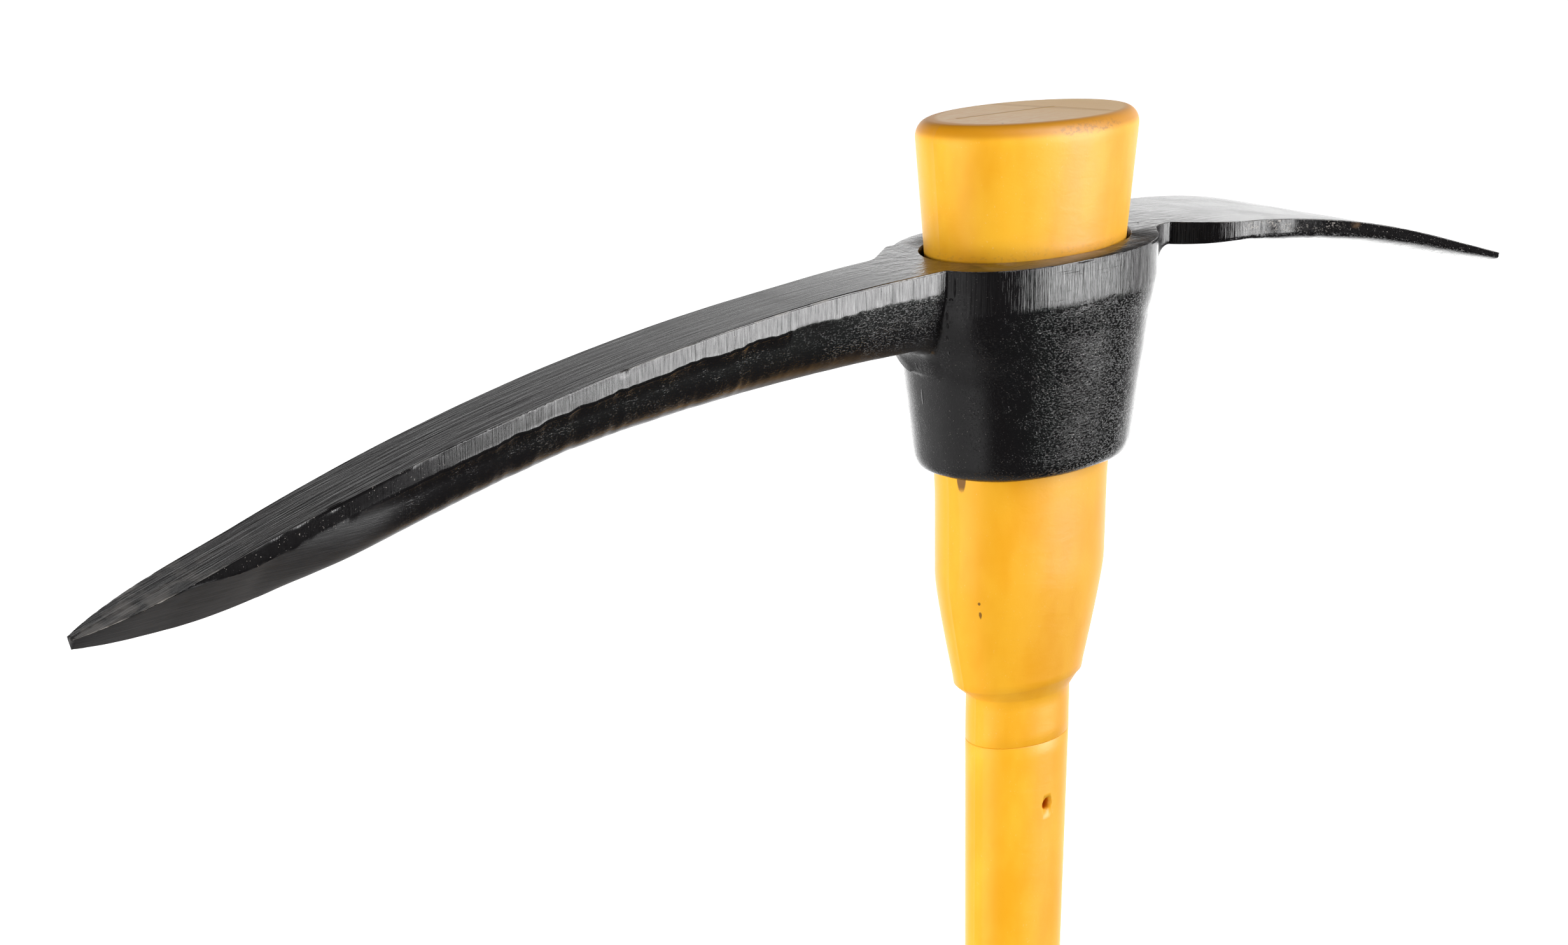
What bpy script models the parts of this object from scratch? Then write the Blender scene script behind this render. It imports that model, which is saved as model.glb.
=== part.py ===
"""Pick mattock with a drop-in fibreglass handle.

One drop forging carries a pick point, an oval eye and an adze blade. The handle drops through the eye
from above until its tapered bulb wedges. The handle is a pultruded fibreglass rod with a moulded bulb
at the head end, a moulded jacket along the shaft and a rubber boot for the hands at the butt.

Metres, +Z up along the handle, the pick towards -X and the adze towards +X. The origin is the middle of
the butt's flat end.
"""
import math

import bmesh
import bpy
from mathutils import Matrix

# Fits
TOUCHING_GAP = 0.0003
EYE_FLANK_CLEARANCE = 0.0003
EYE_END_CLEARANCE_TOP = 0.0022
EYE_END_CLEARANCE_FOOT = 0.0008

# Handle as a whole
HANDLE_LENGTH = 0.914
CAP_STAND_PROUD = 0.0389
HEAD_TOP_Z = HANDLE_LENGTH - CAP_STAND_PROUD

# Bulb, as half lengths of its oval, at depths below the head's top face
BULB_ASPECT = 1.613
BULB_RIM_HALF_LENGTH = 0.0411
BULB_RIM_RADIUS = 0.0050
BULB_FLAT_HALF_LENGTH = 0.0367
BULB_TOP_TILT = math.radians(1.5)
EYE_PLANE_HALF_LENGTH = 0.0375
EYE_TAPER = 0.066
WEDGE_DEPTH = 0.076
BELLY_TAPER = 0.012
BELLY_DEPTH = 0.102
NOSE_DEPTH = 0.137
NOSE_HALF_LENGTH = 0.0245
STEP_DEPTH = 0.004

# Shaft, below the bulb's step
SHAFT_ASPECT = 1.443
CUFF_HALF_LENGTH = 0.0192
CUFF_LENGTH = 0.0156
SHAFT_HALF_LENGTH = 0.0172
SHAFT_TAPER_LENGTH = 0.130

# Fibreglass rod and the pin holes that show it
CORE_HALF_LENGTH = 0.0130
CORE_HALF_WIDTH = 0.0080
CORE_COVER_AT_CAP = 0.014
PIN_HOLE_DIAMETER = 0.0045
PIN_HOLE_BELOW_CUFF = 0.021

# Rubber boot on the butt
GRIP_LENGTH = 0.240
GRIP_WALL = 0.0026
GRIP_END_THICKNESS = 0.0060
GRIP_KNOB_FLARE = 0.0030
GRIP_KNOB_LENGTH = 0.026
GRIP_EDGE_RADIUS = 0.0030
GRIP_LIP_LENGTH = 0.010
GROOVE_COUNT = 12
GROOVE_PITCH = 0.0150
GROOVE_WIDTH = 0.0030
GROOVE_DEPTH = 0.0012
GROOVES_START = 0.044

# Socket of the head round the eye
SOCKET_HEIGHT = 0.0668
SOCKET_SQUARENESS = 2.3
SOCKET_TRIM_DEPTH = 0.014
SOCKET_EDGE_RADIUS = 0.0050
FLANK_WALL_TOP = 0.0083
FLANK_WALL_FOOT = 0.0050
END_WALL_TOP = 0.0074
END_WALL_FOOT = 0.0031
CHEEK_FILLET = 0.0120

# Pick, measured from the middle of the eye
PICK_REACH = 0.3316
PICK_LEVEL_LENGTH = 0.0505
PICK_TOP_RADIUS = 0.853
PICK_ROOT_HALF_WIDTH = 0.0138
PICK_HALF_WIDTH = 0.0113
PICK_WAIST_START = 0.105
PICK_NARROWING_START = 0.180
PICK_ROOT_DEPTH = 0.0250
PICK_MIDDLE_DEPTH = 0.0185
PICK_MIDDLE_START = 0.185
PICK_MIDDLE_END = 0.254
POINT_LENGTH = 0.050
POINT_BASE_HALF_WIDTH = 0.0080
TIP_HALF_WIDTH = 0.0016
TIP_DEPTH = 0.0030
PICK_TRIM_SHARE = 0.30
POINT_TRIM_SHARE = 0.10
POINT_TRIM_START = 0.270
PICK_SQUARENESS = 2.5
POINT_SQUARENESS = 1.2
GRINDING_START = 0.232
GRINDING_END = 0.285
PICK_CHEEK_START = 0.0560
PICK_CHEEK_SLOPE = math.radians(33)
PICK_CHEEK_HALF_WIDTH = 0.0245
PICK_WEB_REACH = 0.0100
PICK_WEB_HEIGHT = 0.0100

# Adze, measured from the middle of the eye
ADZE_REACH = 0.2015
ADZE_LEVEL_LENGTH = 0.048
ADZE_TOP_RADIUS = 0.405
ADZE_BIT_START = 0.164
NECK_HALF_WIDTH = 0.0120
NECK_END = 0.0535
SHOULDER_END = 0.0780
SHOULDER_HALF_WIDTH = 0.0255
EDGE_HALF_WIDTH = 0.0382
EDGE_CORNER_RADIUS = 0.0015
EDGE_BOW = 0.0030
NECK_SIDE = 0.0068
BLADE_SIDE = 0.0055
EDGE_THICKNESS = 0.0016
NECK_CROWN = 0.0008
BLADE_CROWN = 0.0043
BLADE_CROWN_START = 0.100
BLADE_CROWN_END = 0.160
EDGE_CROWN = 0.0034
BEVEL_LENGTH = 0.0120
NECK_SQUARENESS = 3.4
BLADE_SQUARENESS = 2.0
ADZE_CHEEK_START = 0.0510
ADZE_CHEEK_SLOPE = math.radians(50)
ADZE_CHEEK_HALF_WIDTH = 0.0170
ADZE_WEB_REACH = 0.0070
ADZE_WEB_HEIGHT = 0.0230

# Facets
OVAL_SEGMENTS = 40
BELLY_STEPS = 14
ROOT_STATIONS = 8
PICK_STATIONS = 16
POINT_STATIONS = 7
ADZE_STATIONS = 11
SHOULDER_STATIONS = 6
SMOOTH_ANGLE = math.radians(32)

HEAD_STEEL = ("black_enamelled_steel", (0.020, 0.018, 0.018), 0.32, 0.60)
BULB_PLASTIC = ("yellow_bulb_plastic", (0.930, 0.480, 0.030), 0.42, 0.0)
JACKET_PLASTIC = ("yellow_jacket_plastic", (0.940, 0.500, 0.035), 0.40, 0.0)
ROD_RESIN = ("amber_fibreglass", (0.480, 0.190, 0.035), 0.50, 0.0)
GRIP_RUBBER = ("black_rubber", (0.022, 0.022, 0.024), 0.70, 0.0)


def clear_scene():
    for item in list(bpy.data.objects):
        bpy.data.objects.remove(item, do_unlink=True)


def make_material(name, colour, roughness, metallic):
    finish = bpy.data.materials.new(name)
    finish.use_nodes = True
    shader = finish.node_tree.nodes["Principled BSDF"]
    shader.inputs["Base Color"].default_value = (*colour, 1.0)
    shader.inputs["Roughness"].default_value = roughness
    shader.inputs["Metallic"].default_value = metallic
    return finish


def oval(half_length, half_width, z, squareness=2.0):
    """One closed oval level with the ground; squareness 2 is an ellipse, more is boxier."""
    points = []
    for step in range(OVAL_SEGMENTS):
        turn = 2 * math.pi * step / OVAL_SEGMENTS
        along = math.copysign(abs(math.cos(turn)) ** (2 / squareness), math.cos(turn))
        across = math.copysign(abs(math.sin(turn)) ** (2 / squareness), math.sin(turn))
        points.append((half_length * along, half_width * across, z))
    return points


def loft(name, sections, ring_shaped=False):
    """Skin a chain of sections with the same number of points.

    Each new ring is extruded from the last one and moved to its section. The two ends are capped, or
    joined to each other where the chain runs round a tube's wall.
    """
    shape = bmesh.new()
    first = [shape.verts.new(point) for point in sections[0]]
    loop = [shape.edges.new((first[i - 1], first[i])) for i in range(len(first))]
    ring = first
    for section in sections[1:]:
        grown = bmesh.ops.extrude_edge_only(shape, edges=loop)["geom"]
        fresh = {item for item in grown if isinstance(item, bmesh.types.BMVert)}
        loop = [item for item in grown
                if isinstance(item, bmesh.types.BMEdge) and set(item.verts) <= fresh]
        ring = [next(edge.other_vert(vert) for edge in vert.link_edges if edge.other_vert(vert) in fresh)
                for vert in ring]
        for vert, point in zip(ring, section):
            vert.co = point
    if ring_shaped:
        for i in range(len(ring)):
            shape.faces.new((first[i - 1], first[i], ring[i], ring[i - 1]))
    else:
        shape.faces.new(first)
        shape.faces.new(ring)
    bmesh.ops.recalc_face_normals(shape, faces=shape.faces[:])
    mesh = bpy.data.meshes.new(name)
    shape.to_mesh(mesh)
    shape.free()
    mesh.shade_smooth()
    mesh.set_sharp_from_angle(angle=SMOOTH_ANGLE)
    item = bpy.data.objects.new(name, mesh)
    bpy.context.scene.collection.objects.link(item)
    return item


def as_helper(item):
    """Keep an object that only shapes another one out of sight."""
    item.hide_render = True
    item.display_type = "WIRE"
    return item


def combine(item, other, operation):
    step = item.modifiers.new(other.name, "BOOLEAN")
    step.operation = operation
    step.object = other
    step.solver = "EXACT"


def turn_of_arc(past, radius):
    """How far a quarter circle of this radius has left its tangent, a distance past its start."""
    share = min(max(past / radius, 0.0), 1.0)
    return radius * (1 - math.sqrt(1 - share * share))


def ease(value, start, end):
    """Share of the way from start to end, starting and stopping gently."""
    share = min(max((value - start) / (end - start), 0.0), 1.0)
    return share * share * (3 - 2 * share)


def arc_drop(x, level_end, radius, straight_start):
    """How far down a top face has gone at x that is first level, then curved and at last straight."""
    run = min(max(x - level_end, 0.0), straight_start - level_end)
    height = math.sqrt(radius * radius - run * run)
    return radius - height + max(x - straight_start, 0.0) * run / height


# Handle


def bulb_half_length(depth):
    """Half length of the bulb's oval at a depth below the head's top face, down to its nose."""
    wedge_end = EYE_PLANE_HALF_LENGTH - EYE_TAPER * WEDGE_DEPTH
    belly_end = wedge_end - BELLY_TAPER * (BELLY_DEPTH - WEDGE_DEPTH)
    if depth < 0:
        rim_start = CAP_STAND_PROUD - BULB_RIM_RADIUS
        return EYE_PLANE_HALF_LENGTH + (BULB_RIM_HALF_LENGTH - EYE_PLANE_HALF_LENGTH) * -depth / rim_start
    if depth <= WEDGE_DEPTH:
        return EYE_PLANE_HALF_LENGTH - EYE_TAPER * depth
    if depth <= BELLY_DEPTH:
        return wedge_end - BELLY_TAPER * (depth - WEDGE_DEPTH)
    share = (depth - BELLY_DEPTH) / (NOSE_DEPTH - BELLY_DEPTH)
    return belly_end + (NOSE_HALF_LENGTH - belly_end) * share ** 1.15


CUFF_TOP_DEPTH = NOSE_DEPTH + STEP_DEPTH
CUFF_FOOT_DEPTH = CUFF_TOP_DEPTH + CUFF_LENGTH
CUFF_FOOT_Z = HEAD_TOP_Z - CUFF_FOOT_DEPTH
JACKET_TOP_Z = CUFF_FOOT_Z - TOUCHING_GAP
SHAFT_WAIST_Z = JACKET_TOP_Z - SHAFT_TAPER_LENGTH
JACKET_FOOT_Z = GRIP_END_THICKNESS + TOUCHING_GAP
CORE_TOP_Z = HANDLE_LENGTH - CORE_COVER_AT_CAP
BORE_HALF_LENGTH = CORE_HALF_LENGTH + TOUCHING_GAP
BORE_HALF_WIDTH = CORE_HALF_WIDTH + TOUCHING_GAP


def bulb_ring(depth):
    half_length = bulb_half_length(depth)
    return oval(half_length, half_length / BULB_ASPECT, HEAD_TOP_Z - depth)


def cap_rings():
    """The rounded rim of the cap, closing on a top that is trimmed a little out of square."""
    rings = []
    rim_half_width = BULB_RIM_HALF_LENGTH / BULB_ASPECT
    draw_in = BULB_RIM_HALF_LENGTH - BULB_FLAT_HALF_LENGTH
    for step in range(5):
        turn = math.pi / 2 * step / 4
        inset = draw_in * (1 - math.cos(turn))
        z = HANDLE_LENGTH - BULB_RIM_RADIUS * (1 - math.sin(turn))
        ring = oval(BULB_RIM_HALF_LENGTH - inset, rim_half_width - inset, z)
        rings.append([(x, y, z - x * math.tan(BULB_TOP_TILT) * math.sin(turn)) for x, y, z in ring])
    return rings


def make_bulb():
    """A cup turned upside down: its chain of rings starts at the blind end of the rod's bore."""
    cuff_half_width = CUFF_HALF_LENGTH / SHAFT_ASPECT
    depths = [NOSE_DEPTH + (BELLY_DEPTH - NOSE_DEPTH) * step / 5 for step in range(6)]
    depths += [BELLY_DEPTH + (WEDGE_DEPTH - BELLY_DEPTH) * step / 3 for step in range(1, 4)]
    depths += [WEDGE_DEPTH / 2, 0.0, -(CAP_STAND_PROUD - BULB_RIM_RADIUS) / 2]
    rings = [
        oval(BORE_HALF_LENGTH, BORE_HALF_WIDTH, CORE_TOP_Z + TOUCHING_GAP),
        oval(BORE_HALF_LENGTH, BORE_HALF_WIDTH, CUFF_FOOT_Z),
        oval(CUFF_HALF_LENGTH, cuff_half_width, CUFF_FOOT_Z),
        oval(CUFF_HALF_LENGTH, cuff_half_width, HEAD_TOP_Z - CUFF_TOP_DEPTH),
    ]
    rings += [bulb_ring(depth) for depth in depths]
    return loft("eye_bulb", rings + cap_rings())


def shaft_half_length(z):
    """The shaft narrows evenly from the cuff to its waist and keeps that size to the butt."""
    share = min(max((z - SHAFT_WAIST_Z) / (JACKET_TOP_Z - SHAFT_WAIST_Z), 0.0), 1.0)
    return SHAFT_HALF_LENGTH + (CUFF_HALF_LENGTH - SHAFT_HALF_LENGTH) * share


def shaft_ring(z, extra=0.0):
    half_length = shaft_half_length(z)
    return oval(half_length + extra, half_length / SHAFT_ASPECT + extra, z)


def make_jacket():
    heights = [JACKET_FOOT_Z, GRIP_LENGTH, SHAFT_WAIST_Z]
    heights += [SHAFT_WAIST_Z + (JACKET_TOP_Z - SHAFT_WAIST_Z) * step / 3 for step in range(1, 4)]
    rings = [shaft_ring(z) for z in heights]
    rings.append(oval(BORE_HALF_LENGTH, BORE_HALF_WIDTH, JACKET_TOP_Z))
    rings.append(oval(BORE_HALF_LENGTH, BORE_HALF_WIDTH, JACKET_FOOT_Z))
    jacket = loft("handle_jacket", rings, ring_shaped=True)
    combine(jacket, make_pin_cutter(), "DIFFERENCE")
    return jacket


def make_pin_cutter():
    """The pins that held the rod in the middle of the mould left one hole on each flank."""
    shape = bmesh.new()
    placing = Matrix.Translation((0, 0, CUFF_FOOT_Z - PIN_HOLE_BELOW_CUFF)) @ Matrix.Rotation(math.pi / 2, 4, "X")
    bmesh.ops.create_cone(shape, cap_ends=True, segments=16, radius1=PIN_HOLE_DIAMETER / 2,
                          radius2=PIN_HOLE_DIAMETER / 2, depth=4 * CUFF_HALF_LENGTH, matrix=placing)
    mesh = bpy.data.meshes.new("core_pin_cutter")
    shape.to_mesh(mesh)
    shape.free()
    cutter = bpy.data.objects.new("core_pin_cutter", mesh)
    bpy.context.scene.collection.objects.link(cutter)
    return as_helper(cutter)


def make_core():
    return loft("fibreglass_core", [oval(CORE_HALF_LENGTH, CORE_HALF_WIDTH, z)
                                    for z in (JACKET_FOOT_Z, CORE_TOP_Z)])


def grip_outline():
    """Height and outward growth of the boot's outer skin, from the butt's edge up to its lip."""
    knob_top = GRIP_KNOB_LENGTH
    outline = []
    for step in range(4):
        turn = math.pi / 2 * step / 3
        rise = GRIP_EDGE_RADIUS * (1 - math.cos(turn))
        outline.append((rise, GRIP_WALL + GRIP_KNOB_FLARE - GRIP_EDGE_RADIUS * (1 - math.sin(turn))))
    outline.append((knob_top / 2, GRIP_WALL + GRIP_KNOB_FLARE))
    outline.append((knob_top * 0.8, GRIP_WALL + GRIP_KNOB_FLARE * 0.35))
    outline.append((knob_top, GRIP_WALL))
    for groove in range(GROOVE_COUNT):
        middle = GROOVES_START + groove * GROOVE_PITCH
        outline.append((middle - GROOVE_WIDTH / 2, GRIP_WALL))
        outline.append((middle, GRIP_WALL - GROOVE_DEPTH))
        outline.append((middle + GROOVE_WIDTH / 2, GRIP_WALL))
    outline.append((GRIP_LENGTH - GRIP_LIP_LENGTH, GRIP_WALL))
    outline.append((GRIP_LENGTH, GRIP_WALL / 2))
    return outline


def make_grip():
    """A boot: its chain of rings starts on the floor inside and ends on the flat butt."""
    inside = TOUCHING_GAP
    rings = [shaft_ring(GRIP_END_THICKNESS, inside), shaft_ring(GRIP_LENGTH, inside)]
    rings += [shaft_ring(z, growth) for z, growth in reversed(grip_outline())]
    return loft("rubber_grip", rings)


# Head, modelled about the middle of the eye with its top face at z = 0


def eye_half_length(depth):
    share = depth / SOCKET_HEIGHT
    clearance = EYE_END_CLEARANCE_TOP + (EYE_END_CLEARANCE_FOOT - EYE_END_CLEARANCE_TOP) * share
    return EYE_PLANE_HALF_LENGTH - EYE_TAPER * depth + clearance


def eye_half_width(depth):
    return (EYE_PLANE_HALF_LENGTH - EYE_TAPER * depth) / BULB_ASPECT + EYE_FLANK_CLEARANCE


def eye_ring(depth):
    return oval(eye_half_length(depth), eye_half_width(depth), -depth)


def make_eye_drift():
    """The tapered tool that leaves the eye; its flare above the head follows the bulb's."""
    margin = 0.004
    return as_helper(loft("eye_drift", [eye_ring(SOCKET_HEIGHT + margin), eye_ring(-margin)]))


def socket_half_length(depth):
    return eye_half_length(depth) + END_WALL_TOP + (END_WALL_FOOT - END_WALL_TOP) * depth / SOCKET_HEIGHT


def socket_half_width(depth):
    return eye_half_width(depth) + FLANK_WALL_TOP + (FLANK_WALL_FOOT - FLANK_WALL_TOP) * depth / SOCKET_HEIGHT


def socket_ring(depth, tuck=0.0):
    """Outside of the socket: the eye's oval plus a wall that thins towards the foot."""
    return oval(socket_half_length(depth) - tuck, socket_half_width(depth) - tuck, -depth, SOCKET_SQUARENESS)


def make_socket():
    """The forging's middle: trimmed upright at the top, drafted below, with a rounded foot."""
    edge_start = SOCKET_HEIGHT - SOCKET_EDGE_RADIUS
    edge_tuck = min(SOCKET_EDGE_RADIUS, 0.8 * END_WALL_FOOT, 0.8 * FLANK_WALL_FOOT)
    trimmed_edge = socket_ring(SOCKET_TRIM_DEPTH / 2)
    rings = [[(x, y, 0.0) for x, y, z in trimmed_edge]]
    rings.append([(x, y, -SOCKET_TRIM_DEPTH) for x, y, z in trimmed_edge])
    rings += [socket_ring(SOCKET_TRIM_DEPTH + (edge_start - SOCKET_TRIM_DEPTH) * step / 4)
              for step in range(1, 5)]
    for step in range(1, 4):
        turn = math.pi / 2 * step / 3
        depth = edge_start + SOCKET_EDGE_RADIUS * math.sin(turn)
        rings.append(socket_ring(depth, edge_tuck * (1 - math.cos(turn))))
    return loft("forged_head", rings)


def blade_section(side_of_eye, x, top_at, half_width, side, belly, squareness, bow=0.0, bevel=0.0):
    """A level top, upright trimmed sides and a rounded belly, across a blade at x.

    A bowed section trails behind x towards its two sides. A bevel hollows the top to follow the belly.
    """
    top_points = []
    belly_points = []
    for step in range(BELLY_STEPS + 1):
        turn = math.pi * step / BELLY_STEPS
        across = math.copysign(abs(math.cos(turn)) ** (2 / squareness), math.cos(turn))
        station = x - bow * across * across
        swell = abs(math.sin(turn)) ** (2 / squareness)
        top_points.append((side_of_eye * station, -half_width * across, top_at(station) - bevel * swell))
        belly_points.append((side_of_eye * station, half_width * across, top_at(station) - side - belly * swell))
    return top_points + belly_points


def pick_top(x):
    return -arc_drop(x, PICK_LEVEL_LENGTH, PICK_TOP_RADIUS, PICK_REACH - POINT_LENGTH)


def pick_half_width(x):
    point_start = PICK_REACH - POINT_LENGTH
    if x > point_start:
        share = (x - point_start) / POINT_LENGTH
        return POINT_BASE_HALF_WIDTH + (TIP_HALF_WIDTH - POINT_BASE_HALF_WIDTH) * share ** 3.5
    if x > PICK_NARROWING_START:
        share = (x - PICK_NARROWING_START) / (point_start - PICK_NARROWING_START)
        return PICK_HALF_WIDTH + (POINT_BASE_HALF_WIDTH - PICK_HALF_WIDTH) * share ** 1.5
    swell = 1 - ease(x, PICK_LEVEL_LENGTH, PICK_WAIST_START)
    return PICK_HALF_WIDTH + (PICK_ROOT_HALF_WIDTH - PICK_HALF_WIDTH) * swell


def pick_depth(x):
    """Deep at the root, even along the middle, then drawn down to the tip."""
    if x > PICK_MIDDLE_END:
        share = (x - PICK_MIDDLE_END) / (PICK_REACH - PICK_MIDDLE_END)
        return PICK_MIDDLE_DEPTH + (TIP_DEPTH - PICK_MIDDLE_DEPTH) * share ** 2
    share = min(max((x - PICK_LEVEL_LENGTH) / (PICK_MIDDLE_START - PICK_LEVEL_LENGTH), 0.0), 1.0)
    return PICK_ROOT_DEPTH + (PICK_MIDDLE_DEPTH - PICK_ROOT_DEPTH) * share ** 1.3


def blade_root():
    """Where both blades start: inside the eye, so that the drift trims them with the socket."""
    return EYE_PLANE_HALF_LENGTH * 0.85


def cheek_half_width(x, half_width, start, slope, limit):
    """Half width of a blade whose flank bends out at start to run on to the socket as a sloping cheek."""
    past = max(start - x, 0.0)
    bend = CHEEK_FILLET * math.sin(slope)
    growth = turn_of_arc(min(past, bend), CHEEK_FILLET) + max(past - bend, 0.0) * math.tan(slope)
    return min(half_width + growth, max(limit, half_width))


def web_growth(x, depth, reach, height):
    """How much deeper than its belly a blade is at x, where it runs into the socket's end."""
    start = socket_half_length(depth) + reach
    return height * turn_of_arc((start - x) / reach, 1.0)


def root_stations(end):
    """Stations from inside the eye, then close together where the fillets are."""
    start = socket_half_length(0.0) - FLANK_WALL_TOP
    return [blade_root()] + [start + (end - start) * step / ROOT_STATIONS for step in range(ROOT_STATIONS + 1)]


def pick_side(x):
    """Height of the trimmed side, which the two ground facets of the point almost cut away."""
    share = PICK_TRIM_SHARE + (POINT_TRIM_SHARE - PICK_TRIM_SHARE) * ease(x, POINT_TRIM_START, PICK_REACH)
    return share * pick_depth(x)


def pick_squareness(x):
    """The belly is round along the pick and ground to two flat facets below the point."""
    return PICK_SQUARENESS + (POINT_SQUARENESS - PICK_SQUARENESS) * ease(x, GRINDING_START, GRINDING_END)


def make_pick():
    """Sections along the pick, from inside the socket's wall to the blunt tip."""
    point_start = PICK_REACH - POINT_LENGTH
    stations = root_stations(PICK_CHEEK_START)
    stations += [PICK_CHEEK_START + (point_start - PICK_CHEEK_START) * step / PICK_STATIONS
                 for step in range(1, PICK_STATIONS + 1)]
    for step in range(1, POINT_STATIONS + 1):
        stations.append(PICK_REACH - POINT_LENGTH * (1 - step / POINT_STATIONS) ** 1.6)
    sections = []
    for x in stations:
        half_width = cheek_half_width(x, pick_half_width(x), PICK_CHEEK_START, PICK_CHEEK_SLOPE,
                                      PICK_CHEEK_HALF_WIDTH)
        side = pick_side(x)
        belly = pick_depth(x) - side + web_growth(x, PICK_ROOT_DEPTH, PICK_WEB_REACH, PICK_WEB_HEIGHT)
        sections.append(blade_section(-1, x, pick_top, half_width, side, belly, pick_squareness(x)))
    return as_helper(loft("pick_blank", sections))


def adze_top(x):
    return -arc_drop(x, ADZE_LEVEL_LENGTH, ADZE_TOP_RADIUS, ADZE_BIT_START)


def adze_half_width(x):
    if x <= SHOULDER_END:
        share = max(x - NECK_END, 0.0) / (SHOULDER_END - NECK_END)
        return NECK_HALF_WIDTH + (SHOULDER_HALF_WIDTH - NECK_HALF_WIDTH) * (1 - (1 - share) ** 2.2)
    share = (x - SHOULDER_END) / (ADZE_REACH - SHOULDER_END)
    width = SHOULDER_HALF_WIDTH + (EDGE_HALF_WIDTH - SHOULDER_HALF_WIDTH) * share
    return width - turn_of_arc(x - ADZE_REACH + EDGE_CORNER_RADIUS, EDGE_CORNER_RADIUS)


def adze_side(x):
    """Height of the blade's trimmed side: stout at the neck, thin at the edge."""
    blade = BLADE_SIDE + (NECK_SIDE - BLADE_SIDE) * (1 - ease(x, NECK_END, SHOULDER_END))
    along = max(x - NECK_END, 0.0) / (ADZE_REACH - NECK_END)
    return blade + (EDGE_THICKNESS - BLADE_SIDE) * along ** 1.9


def adze_crown(x):
    """How far the belly hangs below the sides: most in the middle of the blade."""
    blade = NECK_CROWN + (BLADE_CROWN - NECK_CROWN) * ease(x, NECK_END, BLADE_CROWN_START)
    return blade + (EDGE_CROWN - blade) * ease(x, BLADE_CROWN_END, ADZE_REACH)


def make_adze():
    """Sections along the adze: a narrow neck, round shoulders and a blade that widens to its edge."""
    stations = root_stations(NECK_END)
    stations += [NECK_END + (SHOULDER_END - NECK_END) * step / SHOULDER_STATIONS
                 for step in range(1, SHOULDER_STATIONS + 1)]
    corner_start = ADZE_REACH - EDGE_CORNER_RADIUS
    bevel_start = ADZE_REACH - BEVEL_LENGTH
    stations += [SHOULDER_END + (bevel_start - SHOULDER_END) * step / ADZE_STATIONS
                 for step in range(1, ADZE_STATIONS + 1)]
    stations += [(bevel_start + corner_start) / 2, corner_start]
    stations += [corner_start + EDGE_CORNER_RADIUS * share for share in (0.4, 0.75, 1.0)]
    sections = []
    for x in stations:
        along = max(x - NECK_END, 0.0) / (ADZE_REACH - NECK_END)
        half_width = cheek_half_width(x, adze_half_width(x), ADZE_CHEEK_START, ADZE_CHEEK_SLOPE,
                                      ADZE_CHEEK_HALF_WIDTH)
        belly = adze_crown(x) + web_growth(x, NECK_SIDE, ADZE_WEB_REACH, ADZE_WEB_HEIGHT)
        squareness = NECK_SQUARENESS + (BLADE_SQUARENESS - NECK_SQUARENESS) * ease(x, NECK_END, SHOULDER_END)
        bevel = EDGE_CROWN * max(x - bevel_start, 0.0) / BEVEL_LENGTH
        sections.append(blade_section(1, x, adze_top, half_width, adze_side(x), belly, squareness,
                                      EDGE_BOW * along ** 2, bevel))
    return as_helper(loft("adze_blank", sections))


def make_head():
    head = make_socket()
    pick = make_pick()
    adze = make_adze()
    drift = make_eye_drift()
    head.location = (0, 0, HEAD_TOP_Z)
    for helper in (pick, adze, drift):
        helper.parent = head
    combine(head, pick, "UNION")
    combine(head, adze, "UNION")
    combine(head, drift, "DIFFERENCE")
    return head


def main():
    clear_scene()
    for item, finish in ((make_core(), ROD_RESIN), (make_jacket(), JACKET_PLASTIC), (make_bulb(), BULB_PLASTIC),
                         (make_grip(), GRIP_RUBBER), (make_head(), HEAD_STEEL)):
        item.data.materials.append(make_material(*finish))


main()
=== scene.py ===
# %% [markdown]
# A pick mattock with a moulded handle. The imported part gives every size; this script gives it the
# surface that a forge, a paint shop and an injection mould leave. The part is loaded first and never
# changed. Detailed pieces then stand in for its plain solids, each riding on the same body. Only the glass
# rod is shown as it was packed, with a finish of its own.

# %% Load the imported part
import math

import bmesh
import bpy
from mathutils import Matrix, Vector, noise
from mathutils.bvhtree import BVHTree


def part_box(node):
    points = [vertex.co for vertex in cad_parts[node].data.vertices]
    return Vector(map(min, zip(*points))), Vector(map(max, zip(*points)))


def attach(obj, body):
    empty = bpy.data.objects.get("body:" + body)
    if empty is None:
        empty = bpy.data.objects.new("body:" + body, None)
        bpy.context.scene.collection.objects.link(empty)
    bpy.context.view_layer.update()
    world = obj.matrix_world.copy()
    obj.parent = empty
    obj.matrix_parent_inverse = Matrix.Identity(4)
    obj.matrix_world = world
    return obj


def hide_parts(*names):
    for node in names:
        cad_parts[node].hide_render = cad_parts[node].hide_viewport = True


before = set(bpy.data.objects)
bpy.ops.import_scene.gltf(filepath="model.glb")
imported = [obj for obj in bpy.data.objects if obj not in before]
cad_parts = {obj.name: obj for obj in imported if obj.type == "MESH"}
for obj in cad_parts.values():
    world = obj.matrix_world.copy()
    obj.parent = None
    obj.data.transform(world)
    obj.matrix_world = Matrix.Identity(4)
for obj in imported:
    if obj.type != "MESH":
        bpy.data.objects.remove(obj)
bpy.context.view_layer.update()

MM = 0.001


def mm(*sizes):
    """Sizes in millimetres, as metres."""
    return tuple(size * MM for size in sizes)


print("loaded", sorted(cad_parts))

# %% [markdown]
# The camera stands where the photographer stood: left of the tool, a little above the head, nearly a
# metre away. It was found from three things whose real shape is known: the level top of the head, the
# ovals of the bulb and the straight axis of the handle. A short distance is what makes the pick's point
# look so much bigger than the adze's edge.

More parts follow.
